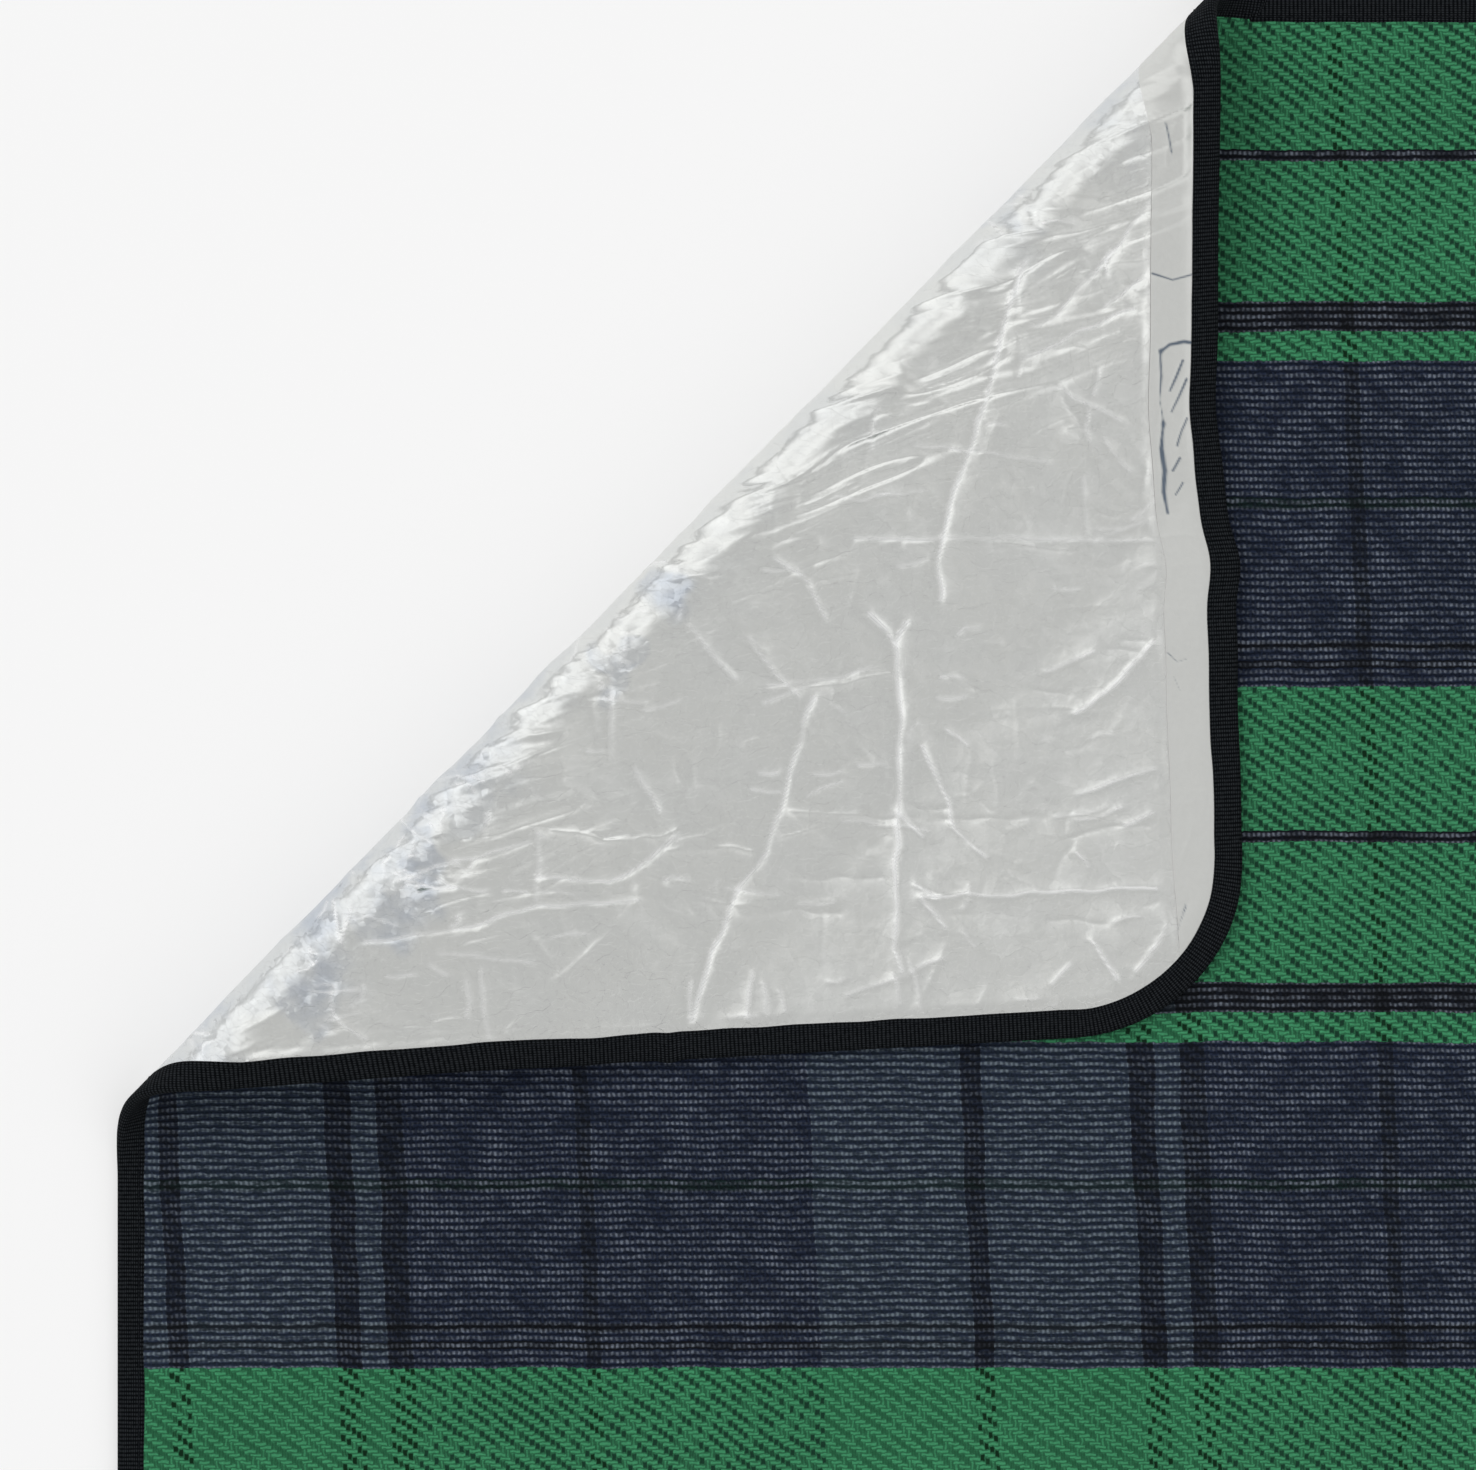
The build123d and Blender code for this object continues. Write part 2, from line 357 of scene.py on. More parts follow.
def crease_lines(x, y, creases, wander, profile):
    """Adds up each crease's height times a profile of how far points lie from it, in half widths."""
    x_bent = x + wander * (noise(x / 7, y / 7, 21) - 0.5)
    y_bent = y + wander * (noise(x / 7, y / 7, 22) - 0.5)
    fade = 0.45 + 0.9 * noise(x_bent / 9, y_bent / 9, 23)
    total = np.zeros_like(x)
    for height, half_width, points in creases:
        low_x, low_y = np.min(points, 0) - CREASE_REACH
        high_x, high_y = np.max(points, 0) + CREASE_REACH
        near = (x_bent > low_x) & (x_bent < high_x) & (y_bent > low_y) & (y_bent < high_y)
        far = np.full(near.sum(), np.inf)
        for start, end in zip(points, points[1:]):
            far = np.minimum(far, from_segment(x_bent[near], y_bent[near], start, end))
        total[near] += height * profile(far / half_width) * fade[near]
    return total


def crease_height(x, y, creases, wander=CREASE_WANDER):
    """The height that creases add, in millimetres: a sharp line with soft shoulders."""
    return crease_lines(x, y, creases, wander,
                        lambda far: 0.78 * np.exp(-far / 0.6) + 0.25 * np.exp(-((far / 2.6) ** 2)))


# Small areas that are crumpled through and through: the middle and the radius of each, in millimetres
CRUMPLED = [(92, 297, 17), (64, 324, 16), (117, 263, 12), (101, 281, 9),
            (28, 345, 12), (182, 196, 11), (165, 222, 9), (290, 70, 12)]


def short_crease(chance, x, y, degrees, length, height):
    """A short crease from a point, with a slight kink in its middle."""
    dx, dy = length * math.cos(math.radians(degrees)), -length * math.sin(math.radians(degrees))
    side = chance.uniform(-1.2, 1.2)
    half_width = chance.uniform(0.8, 1.3)
    return (height, half_width, [(x, y), (x + dx / 2 + side, y + dy / 2 + side), (x + dx, y + dy)])


def small_creases(count, seed):
    """Short creases over the folded corner, most of them nearly level, and more in the crumpled areas."""
    chance = np.random.default_rng(seed)
    found = []
    for _ in range(count):
        x, y = chance.uniform(60, 355), chance.uniform(15, 350)
        degrees = chance.choice([chance.uniform(-8, 22), chance.uniform(60, 105), chance.uniform(125, 155)],
                                p=[0.6, 0.22, 0.18])
        height = chance.uniform(0.10, 0.34) * chance.choice([1, 1, -1])
        found.append(short_crease(chance, x, y, degrees, 5 + chance.exponential(8), height))
    for centre_x, centre_y, radius in CRUMPLED:
        for _ in range(round(1.3 * radius)):
            x, y = centre_x + chance.normal(0, 0.6 * radius), centre_y + chance.normal(0, 0.6 * radius)
            height = chance.uniform(0.15, 0.50) * chance.choice([1, 1, -1])
            degrees = chance.uniform(0, 180)
            found.append(short_crease(chance, x, y, degrees, 2 + chance.exponential(4), height))
    return found


SMALL_CREASES = small_creases(count=540, seed=5)

# Creases higher than this get a painted highlight, a pale matt line along their tops
HIGHLIGHT_HEIGHT = 0.22


def crease_highlight(u, v):
    """How strong the painted highlight is, a pale matt line on the film, from 0 to 1: along the tops of the
    sharper creases.
    """
    x, y = rest_frame(u, v)
    s, _ = fold_coordinates(u, v)
    raised = [crease for crease in CREASES + SMALL_CREASES if crease[0] > HIGHLIGHT_HEIGHT]
    worn = crease_lines(x, y, raised, CREASE_WANDER, lambda far: bump(far, 0, 0.42))
    clear = smooth((s - ARC_1_END) / MM, 5, 14) * smooth(-outline_distance(u, v, UNDER_LEG)[0], 0, 2 * MM)
    return np.clip(1.2 * worn, 0, 0.9) * clear * (s > 0)


def rest_frame(u, v):
    """Where flat points come to rest, right of the left edge and in front of the rear edge."""
    rest = place(u, v, THICK)
    return from_edges(rest[..., 0], rest[..., 1])


def crumple(u, v):
    """How finely crumpled the film is, from 0 where it lies calm to 1 along the fold."""
    s, e = fold_coordinates(u, v)
    x, y = rest_frame(u, v)
    from_roll = (s - ARC_1_END) / MM
    tide = noise(e / (26 * MM), s / (40 * MM), 71)
    reach = 22 + 34 * tide
    ends = 0.85 * (1 - smooth(x, 110, 170)) + 0.35 * smooth(x, 285, 330)
    total = 0.07 + (0.14 + ends) * (1 - smooth(from_roll, 0.35 * reach, reach))
    bent_x, bent_y = x + 14 * (noise(x / 9, y / 9, 73) - 0.5), y + 14 * (noise(x / 9, y / 9, 74) - 0.5)
    for centre_x, centre_y, radius in CRUMPLED:
        total = total + 0.9 * (1 - smooth(np.hypot(bent_x - centre_x, bent_y - centre_y) / radius, 0.7, 1.1))
    return np.where(s > 2 * MM, np.clip(total, 0, 1), 0.06)


# The film's broad facets: the way that each set runs, in degrees, and the distance between its creases
FACETS = [(8, 46), (62, 39), (118, 53), (151, 31), (92, 28)]
FACET_HEIGHT = 0.14

# The streaks where the film is pulled over the roll run this way, in degrees from the sheet's long side
STREAK_DEGREES = 20


def facet_height(x, y):
    """Flat facets that meet in sharp creases, in patches, over flat points in millimetres."""
    height = np.zeros_like(x)
    for number, (degrees, length) in enumerate(FACETS):
        strength = smooth(noise(x / 34, y / 34, 40 + number), 0.35, 0.75)
        height = height + strength * sharp_waves(x, y, degrees, length, 50 + number) * FACET_HEIGHT
    return height


def crinkle_height(x, y):
    """Fine crinkles, stronger in patches."""
    fine = (noise(x / 3.4, y / 3.4, 61) - 0.5) * 0.10 + (noise(x / 1.9, y / 1.9, 62) - 0.5) * 0.035
    return fine * (0.35 + 1.3 * smooth(noise(x / 17, y / 17, 63), 0.3, 0.8))


def ridges(x, y, seed):
    """Sharp-topped ridges from 0 to 1, along the middle values of a noise."""
    return 1 - np.abs(2 * noise(x, y, seed) - 1)


def streak_height(x, y, s, e, from_roll):
    """Streaks where the film is pulled tight: strong beside the roll, and weaker over the rear half."""
    along, across = turned(x, -y, STREAK_DEGREES)
    bent = across + 6 * noise(along / 30, across / 16, 64)
    streak = ridges(along / 36, bent / 5.2, 65)
    thread = ridges(along / 18, bent / 2.6, 68)
    broad = noise(along / 60, bent / 15, 66)
    tide = smooth(noise(e / (33 * MM), s / (60 * MM), 67), 0.22, 0.6)
    u, _ = flat_coordinates(s, e)
    near_fold = smooth(from_roll, 2, 12) * (1 - smooth(from_roll, 30, 85)) * (0.35 + 0.65 * tide)
    near_fold = near_fold * (0.4 + 0.6 * smooth(u + HALF[0], 10 * MM, 110 * MM))
    rear_half = (1 - smooth(y + 0.25 * x, 190, 235)) * smooth(from_roll, 25, 50)
    return (near_fold * (0.95 * streak**2 + 0.26 * thread**2 + 0.90 * broad)
            + rear_half * (0.34 * streak**3 + 0.10 * thread**2))


def film_height(u, v):
    """How far the film stands out from the foam at flat points: facets, streaks, creases and cracks."""
    s, e = fold_coordinates(u, v)
    x, y = rest_frame(u, v)
    from_roll = (s - ARC_1_END) / MM
    creases = 1.3 * crease_height(x, y, CREASES) + crease_height(x, y, SMALL_CREASES)
    drawn = streak_height(x, y, s, e, from_roll) + smooth(from_roll, 5, 16) * creases + 0.25
    height = facet_height(u / MM, v / MM) + crinkle_height(u / MM, v / MM)
    height = np.maximum(height + drawn * smooth(s, 2 * MM, 10 * MM), -0.12)

    # It is held down by the tape, and lies calm under the strip, which has its own cracks
    from_tape = -outline_distance(u, v, UNDER_LEG)[0]
    under_strip = smooth(np.abs(v), HALF[1] - 27 * MM, HALF[1] - 23 * MM)
    calm = 0.75 * under_strip * smooth(from_roll, 25, 70)
    height = height * smooth(from_tape, -0.5 * MM, 4 * MM) * (1 - calm)
    cracks = crease_height(x, y, STRIP_CRACKS, CRACK_WANDER) * smooth(s, 20 * MM, 30 * MM)
    height = height + under_strip * (0.5 * cracks * smooth(from_tape, 0, 2 * MM) - 0.1)

    # Where it lies on the ground, it is pressed almost flat
    underneath = np.minimum(0.2 * height, 0) - 0.12
    return MM * np.where(s > 2 * MM, height, underneath)


def strip_height(u, v):
    """The strip's height: it lies over the film, a little proud of it."""
    from_tape = -outline_distance(u, v, UNDER_LEG)[0]
    return film_height(u, v) + (0.05 + 0.17 * smooth(from_tape, -0.5 * MM, 2 * MM)) * MM


# ---- Flat grids, and cutting them into pieces ----

# Each layer's pieces. The first four lie left of the split, which is between the corner and the left fold.
PIECES = ["base", "roll_start", "roll_end", "flap", "middle_third", "right_third"]
MIDDLE_SPLIT = -290 * MM

# How far the folded corner's fine steps run along the rear edge, and forward along the left one
CORNER_ALONG_REAR = 420 * MM
CORNER_ALONG_LEFT = 440 * MM


def outline_distance(u, v, inset):
    """How far points lie outside the sheet's outline drawn in by inset, and the way out."""
    radius = CORNER_RADIUS - inset
    over_u = np.abs(u) - (HALF[0] - CORNER_RADIUS)
    over_v = np.abs(v) - (HALF[1] - CORNER_RADIUS)
    in_corner = (over_u > 0) & (over_v > 0)
    length = np.maximum(np.hypot(over_u, over_v), 1e-9)
    out_u = np.where(in_corner, over_u / length, np.where(over_u > over_v, 1.0, 0.0))
    out_v = np.where(in_corner, over_v / length, np.where(over_u > over_v, 0.0, 1.0))
    distance = np.where(in_corner, length, np.maximum(over_u, over_v)) - radius
    return distance, out_u * np.sign(u), out_v * np.sign(v)


def lines(stops, steps):
    """Grid lines from stop to stop, each stretch evenly divided by about its own step."""
    values = [np.array([stops[0]])]
    for low, high, step in zip(stops, stops[1:], steps):
        count = max(1, round((high - low) / step))
        values.append(np.linspace(low, high, count + 1)[1:])
    return np.concatenate(values)


def centres(values):
    """The middle of each grid cell."""
    return (values[:-1, :-1] + values[1:, :-1] + values[:-1, 1:] + values[1:, 1:]) / 4


def fit_to_outline(u, v, inset, inside):
    """Keeps the cells inside the outline, and moves their border points onto it."""
    distance, _, _ = outline_distance(centres(u), centres(v), inset)
    keep = (distance < 0) & inside
    used = np.zeros(u.shape, int)
    for i, j in ((0, 0), (1, 0), (0, 1), (1, 1)):
        used[i:u.shape[0] - 1 + i, j:u.shape[1] - 1 + j] += keep
    cell = max(np.hypot(u[i, j] - u[0, 0], v[i, j] - v[0, 0]) for i, j in ((1, 0), (0, 1)))
    distance, out_u, out_v = outline_distance(u, v, inset)
    border = (used > 0) & (used < 4) & (np.abs(distance) < 1.6 * max(cell, 2 * MM))
    u = np.where(border, u - distance * out_u, u)
    v = np.where(border, v - distance * out_v, v)
    return u, v, keep


def piece_of(u, v):
    """The number of the piece that each flat point belongs to, in PIECES' order."""
    s, _ = fold_coordinates(u, v)
    number = np.where(u < 0, 4, 5)
    number = np.where(u < MIDDLE_SPLIT, 0, number)
    corner = (u < MIDDLE_SPLIT) & (s > ARC_1_END)
    number = np.where(corner, 1, number)
    number = np.where(corner & (s > ARC_2_END), 2, number)
    return np.where(corner & (s > RAMP_SPLIT), 3, number)


# Half the length of the corner's grid along the fold, and the grids' step over the outer folds
FOLD_HALF = 345 * MM
FOLD_STEP = 1.5 * MM


def corner_grid(step, arc_step):
    """A grid along and across the fold, over the corner that folds."""
    stops = [ROLL_SIDE, -TANGENTS[0], ARC_1_END, ARC_2_END, ARC_3_END, RAMP_SPLIT, CORNER_REACH]
    steps = [2 * step, arc_step, arc_step, arc_step, step, step]
    s = lines(stops, steps)
    e = lines([-FOLD_HALF, FOLD_HALF], [step])
    ss, ee = np.meshgrid(s, e, indexing="ij")
    u, v = flat_coordinates(ss, ee)
    return u, v, centres(u) < MIDDLE_SPLIT


def rest_grid(step):
    """A grid along and across the sheet, over all but the corner that folds."""
    stops = [-HALF[0], MIDDLE_SPLIT, *FOLD_ZONES[:2], 0.0, *FOLD_ZONES[2:], HALF[0]]
    u = lines(stops, [step, step, FOLD_STEP, step, step, FOLD_STEP, step])
    v = lines([-HALF[1], HALF[1]], [step])
    uu, vv = np.meshgrid(u, v, indexing="ij")
    s, _ = fold_coordinates(centres(uu), centres(vv))
    inside = (s < ROLL_SIDE + TUCK_REACH) | (centres(uu) > MIDDLE_SPLIT)
    return uu, vv, inside


# Where the two grids meet, the rest's edge runs this far under the corner's, and this much deeper
TUCK_REACH = 9 * MM
TUCK = 0.06 * MM


def tucked(u, v):
    """How much deeper than its face the rest grid lies, close to the corner grid's edge."""
    s, _ = fold_coordinates(u, v)
    return TUCK * smooth(s, ROLL_SIDE - TUCK_REACH, ROLL_SIDE) * (u < MIDDLE_SPLIT)


def surface_normals(points):
    """The normal at each grid point, turned upward for a surface whose rows run outward."""
    across = np.gradient(points, axis=0)
    along = np.gradient(points, axis=1)
    normals = np.cross(across, along)
    return normals / np.maximum(np.linalg.norm(normals, axis=-1, keepdims=True), 1e-12)


class Builder:
    """Gathers points, faces, pattern coordinates and normals for each piece of one layer."""

    def __init__(self):
        self.parts = {name: [] for name in PIECES}
        self.flat = {name: [] for name in PIECES}

    def add(self, name, points, faces, pattern, normals=None, flat_points=None, flat_area=0.0):
        """Adds one part of a piece, with its own flat points and area where it is a sheet."""
        self.parts[name].append((points, faces, pattern, normals))
        if flat_points is not None:
            self.flat[name].append((flat_points, flat_area))

    def add_slab(self, u, v, keep, top, bottom):
        """A thin closed slab over the kept cells, with a depth for its top and its bottom at each point."""
        outer, inner = place(u, v, top), place(u, v, bottom)
        outer_normals = surface_normals(outer)
        facing = np.sign((outer_normals * (outer - inner)).sum(-1, keepdims=True))
        outer_normals = outer_normals * np.where(facing == 0, 1, facing)
        numbers = piece_of(centres(u), centres(v))
        index = np.arange(u.size).reshape(u.shape)
        corners = np.stack([index[:-1, :-1], index[1:, :-1], index[1:, 1:], index[:-1, 1:]], -1)
        edge_1 = np.stack([u[1:, :-1] - u[:-1, :-1], v[1:, :-1] - v[:-1, :-1]], -1)
        edge_2 = np.stack([u[:-1, 1:] - u[:-1, :-1], v[:-1, 1:] - v[:-1, :-1]], -1)
        cell_areas = np.abs(edge_1[..., 0] * edge_2[..., 1] - edge_1[..., 1] * edge_2[..., 0])
        flips = facing.reshape(-1)[corners[..., 0]] < 0
        for number, name in enumerate(PIECES):
            chosen = keep & (numbers == number)
            quads = corners[chosen]
            if len(quads) == 0:
                continue
            quads = np.where(flips[chosen][:, None], quads[:, ::-1], quads)
            used, local = np.unique(quads, return_inverse=True)
            local = local.reshape(-1, 4)
            rim = rim_edges(local)
            count = len(used)
            below = local[:, ::-1] + count
            sides = np.stack([rim[:, 1], rim[:, 0], rim[:, 0] + count, rim[:, 1] + count], -1)
            points = np.concatenate([outer.reshape(-1, 3)[used], inner.reshape(-1, 3)[used]])
            flat = np.stack([u.reshape(-1)[used], v.reshape(-1)[used]], -1)
            normals = outer_normals.reshape(-1, 3)[used]
            self.add(name, points, np.concatenate([local, below, sides]), np.tile(flat, (2, 1)),
                     np.concatenate([normals, -normals]), flat, float(cell_areas[chosen].sum()))

    def finish(self, layer, material):
        """Makes each piece's mesh object, hides the imported panels it stands for, and returns the objects by
        piece.
        """
        made = {}
        for name, parts in self.parts.items():
            if not parts:
                continue
            shifts = np.cumsum([0] + [len(part[0]) for part in parts[:-1]])
            points = np.concatenate([part[0] for part in parts])
            faces = np.concatenate([part[1] + shift for part, shift in zip(parts, shifts)])
            pattern = np.concatenate([part[2] for part in parts])
            normals = None if parts[0][3] is None else np.concatenate([part[3] for part in parts])
            piece = mesh_object(f"{layer}_{name}", points, faces, pattern, normals, material)
            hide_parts(*[f"{layer}_{panel}" for panel in PANELS[name]])
            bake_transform(piece)
            made[name] = piece
        return made


def rim_edges(quads):
    """The directed edges that only one face uses."""
    edges = np.concatenate([quads[:, [i, (i + 1) % 4]] for i in range(4)])
    size = quads.max() + 1
    keys = np.minimum(edges[:, 0], edges[:, 1]) * size + np.maximum(edges[:, 0], edges[:, 1])
    _, first, counts = np.unique(keys, return_index=True, return_counts=True)
    return edges[first[counts == 1]]


def mesh_object(name, points, faces, pattern, normals, material):
    """A mesh object of four-sided faces, with its pattern coordinates in metres."""
    mesh = bpy.data.meshes.new(name)
    mesh.vertices.add(len(points))
    mesh.vertices.foreach_set("co", points.astype(np.float32).ravel())
    mesh.loops.add(faces.size)
    mesh.loops.foreach_set("vertex_index", faces.astype(np.int32).ravel())
    mesh.polygons.add(len(faces))
    mesh.polygons.foreach_set("loop_start", np.arange(0, faces.size, 4, dtype=np.int32))
    mesh.update(calc_edges=True)
    mesh.polygons.foreach_set("use_smooth", np.ones(len(faces), bool))
    layer = mesh.uv_layers.new(name="pattern")
    layer.data.foreach_set("uv", pattern[faces.ravel()].astype(np.float32).ravel())
    if normals is not None:
        mesh.normals_split_custom_set_from_vertices(normals.tolist())
    mesh.materials.append(material)
    piece = bpy.data.objects.new(name, mesh)
    bpy.context.scene.collection.objects.link(piece)
    return piece


def note(piece, name, value):
    """Keeps a value at each point of a piece, for its material."""
    flat = np.zeros(2 * len(piece.data.loops), np.float32)
    piece.data.uv_layers["pattern"].data.foreach_get("uv", flat)
    corner_points = np.zeros(len(piece.data.loops), np.int32)
    piece.data.loops.foreach_get("vertex_index", corner_points)
    points = np.zeros((len(piece.data.vertices), 2))
    points[corner_points] = flat.reshape(-1, 2)
    values = value(points[:, 0], points[:, 1]).astype(np.float32)
    piece.data.attributes.new(name, "FLOAT", "POINT").data.foreach_set("value", values)


def fold_point(s, depth):
    """A point of the folded section, at the middle of the fold, as the blends need it."""
    q, z = rolled_section(np.array(s), np.array(depth))
    x, y = HINGES[0][:2] + float(q) * OUTWARD
    return (float(x), float(y), float(z))


def arc_ends(low, high):
    """Where a bend of the roll starts and ends, which is a hair before the next one starts."""
    return fold_point(low, 0), fold_point(high - 1e-6, 0)


# The two bodies that each piece joins, and the points between which it bends
SPANS = {
    "base": ("left_panel", "roll_outer", *arc_ends(-TANGENTS[0], ARC_1_END)),
    "roll_start": ("roll_outer", "roll_inner", *arc_ends(ARC_1_END, ARC_2_END)),
    "roll_end": ("roll_inner", "ramp", *arc_ends(ARC_2_END, ARC_3_END)),
    "flap": ("ramp", "corner_flap", fold_point(LAY_LINE - LAY_TANGENT, THICK),
             fold_point(LAY_LINE + LAY_TANGENT, THICK)),
    "middle_third": ("left_panel", "middle_panel", (FOLD_ZONES[0], 0, 0), (FOLD_ZONES[1], 0, 0)),
    "right_third": ("middle_panel", "right_panel", (FOLD_ZONES[2], 0, 0), (FOLD_ZONES[3], 0, 0)),
}

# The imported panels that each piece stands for
PANELS = {
    "base": ["left"],
    "roll_start": ["roll_outer"],
    "roll_end": ["roll_inner"],
    "flap": ["ramp", "corner_flap"],
    "middle_third": ["middle"],
    "right_third": ["right"],
}


# ---- Materials ----


def linear(red, green, blue):
    """A colour given as 0 to 255 screen values, as the shader needs it."""
    values = [c / 255 for c in (red, green, blue)]
    return tuple(c / 12.92 if c <= 0.04045 else ((c + 0.055) / 1.055) ** 2.4 for c in values) + (1.0,)


class Nodes:
    """A node tree, with short calls for the nodes used here."""

    def __init__(self, tree):
        self.tree = tree

    def new(self, kind, **settings):
        node = self.tree.nodes.new(kind)
        for key, value in settings.items():
            setattr(node, key, value)
        return node

    def link(self, value, socket):
        if isinstance(value, bpy.types.NodeSocket):
            self.tree.links.new(value, socket)
        else:
            socket.default_value = value

    def maths(self, operation, a, b=0.0):
        node = self.new("ShaderNodeMath", operation=operation)
        self.link(a, node.inputs[0])
        self.link(b, node.inputs[1])
        return node.outputs[0]

    def vectors(self, operation, a, b, output="Vector"):
        node = self.new("ShaderNodeVectorMath", operation=operation)
        self.link(a, node.inputs[0])
        self.link(b, node.inputs[1])
        return node.outputs[output]

    def add(self, a, b):
        return self.maths("ADD", a, b)

    def sub(self, a, b):
        return self.maths("SUBTRACT", a, b)

    def mul(self, a, b):
        return self.maths("MULTIPLY", a, b)

    def plus(self, base, gain, x):
        """The base and gain times x."""
        return self.add(base, self.mul(x, gain))

    def flip(self, x):
        """What is left of 1."""
        return self.sub(1.0, x)

    def off_middle(self, x):
        """How far a share lies from one half."""
        return self.maths("ABSOLUTE", self.sub(x, 0.5))

    def between(self, x, low, high, start=0.0, end=1.0):
        """start where x is low or less, end where it is high or more, smooth between."""
        node = self.new("ShaderNodeMapRange", interpolation_type="SMOOTHSTEP")
        self.link(x, node.inputs["Value"])
        for socket, value in (("From Min", low), ("From Max", high), ("To Min", start), ("To Max", end)):
            node.inputs[socket].default_value = value
        return node.outputs["Result"]

    def mix(self, share, a, b, blend="MIX"):
        node = self.new("ShaderNodeMix", data_type="RGBA", blend_type=blend)
        self.link(share, node.inputs[0])
        self.link(a, node.inputs[6])
        self.link(b, node.inputs[7])
        return node.outputs[2]

    def pattern(self):
        """The piece's flat coordinates in metres: a vector, and its two parts."""
        vector = self.new("ShaderNodeUVMap", uv_map="pattern").outputs[0]
        return vector, *self.parts(vector)[:2]

    def parts(self, vector):
        node = self.new("ShaderNodeSeparateXYZ")
        self.link(vector, node.inputs[0])
        return tuple(node.outputs)

    def vector(self, x, y, z=0.0):
        node = self.new("ShaderNodeCombineXYZ")
        for value, socket in zip((x, y, z), node.inputs):
            self.link(value, socket)
        return node.outputs[0]

    def grey(self, level):
        return self.vector(level, level, level)

    def kept(self, name):
        """The value that note() keeps at each point of a piece."""
        return self.new("ShaderNodeAttribute", attribute_name=name).outputs["Fac"]

    def noise(self, vector, scale, detail=2.0, roughness=0.5):
        node = self.new("ShaderNodeTexNoise")
        self.link(vector, node.inputs["Vector"])
        node.inputs["Scale"].default_value = scale
        node.inputs["Detail"].default_value = detail
        node.inputs["Roughness"].default_value = roughness
        return node.outputs[0]

    def chance(self, x, y):
        """A random value from 0 to 1 for each whole x and y."""
        node = self.new("ShaderNodeTexWhiteNoise", noise_dimensions="2D")
        self.link(self.vector(x, y), node.inputs["Vector"])
        return node.outputs["Value"]

    def tilted_facets(self, vector, scale):
        """Heights in metres of flat facets of random slope, of about 1/scale metres each."""
        cells = self.new("ShaderNodeTexVoronoi", voronoi_dimensions="2D")
        self.link(vector, cells.inputs["Vector"])
        cells.inputs["Scale"].default_value = scale
        offset = self.vectors("SUBTRACT", vector, cells.outputs["Position"])
        slope = self.vectors("SUBTRACT", cells.outputs["Color"], (0.5, 0.5, 0.5))
        return self.vectors("DOT_PRODUCT", offset, slope, "Value")

    def stripes(self, position, bands):
        """A colour by position from 0 to 1, from bands of (share, colour)."""
        node = self.new("ShaderNodeValToRGB")
        ramp = node.color_ramp
        ramp.interpolation = "CONSTANT"
        start = 0.0
        for number, (share, colour) in enumerate(bands):
            stop = ramp.elements[0] if number == 0 else ramp.elements.new(start)
            stop.position = start
            stop.color = colour
            start += share
        ramp.elements.remove(ramp.elements[-1])
        self.link(position, node.inputs[0])
        return node.outputs[0]


class Material(Nodes):
    """A material's nodes, which all lead to its one shader."""

    def __init__(self, name):
        self.material = bpy.data.materials.new(name)
        self.material.use_nodes = True
        super().__init__(self.material.node_tree)
        self.shader = self.tree.nodes["Principled BSDF"]

    def skin(self, colour, height, distance, strength):
        """Gives the shader its colour, and its relief from a height in units of a distance."""
        bump = self.new("ShaderNodeBump")
        bump.inputs["Strength"].default_value = strength
        bump.inputs["Distance"].default_value = distance
        self.link(height, bump.inputs["Height"])
        self.link(bump.outputs[0], self.shader.inputs["Normal"])
        self.link(colour, self.shader.inputs["Base Color"])
        return self.material

    def matt(self, roughness, specular):
        """A rough surface with next to no gloss."""
        self.shader.inputs["Roughness"].default_value = roughness
        self.shader.inputs["Specular IOR Level"].default_value = specular


# The widths of a warp end and of a weft pick
END_PITCH = 1.68 * MM
PICK_PITCH = 1.22 * MM

GREEN_WEFT = linear(51, 114, 79)
NAVY_WEFT = linear(22, 28, 42)
BLACK_WEFT = linear(15, 17, 22)
DARK_WEFT = linear(15, 26, 27)
GREEN_WARP = linear(34, 84, 60)
NAVY_WARP = linear(20, 26, 38)
BLACK_WARP = linear(12, 14, 16)

# The tartan's repeat, in bands counted in threads. The first band starts this far in from the rear
# edge, or from the left one.
WEFT_START = 122.1 * MM
WEFT_BANDS = [(36, NAVY_WEFT), (4, DARK_WEFT), (35, NAVY_WEFT), (2, BLACK_WEFT), (3, NAVY_WEFT),
              (2, BLACK_WEFT), (6, NAVY_WEFT), (38, GREEN_WEFT), (4, BLACK_WEFT), (38, GREEN_WEFT),
              (8, BLACK_WEFT), (8, GREEN_WEFT)]
WARP_START = 231.7 * MM
WARP_BANDS = [(30, GREEN_WARP), (4, BLACK_WARP), (29, GREEN_WARP), (5, BLACK_WARP), (5, GREEN_WARP),
              (5, BLACK_WARP), (34, NAVY_WARP), (3, BLACK_WARP), (43, NAVY_WARP)]

# The warp leans by this much as it runs forward, and is in its place this far in from the rear edge
LEAN = 0.05
LEAN_FROM = 409 * MM
CLEAR = (0.0, 0.0, 0.0, 1.0)
FULL = (1.0, 1.0, 1.0, 1.0)


def thread_count(bands):
    """How many threads there are in a repeat."""
    return sum(count for count, _ in bands)


def shares(bands):
    """Bands counted in threads, as shares of the repeat."""
    whole = thread_count(bands)
    return [(count / whole, colour) for count, colour in bands]


def only(bands, chosen):
    """The same bands, full where they have the chosen colour and clear elsewhere."""
    return shares([(count, FULL if colour == chosen else CLEAR) for count, colour in bands])


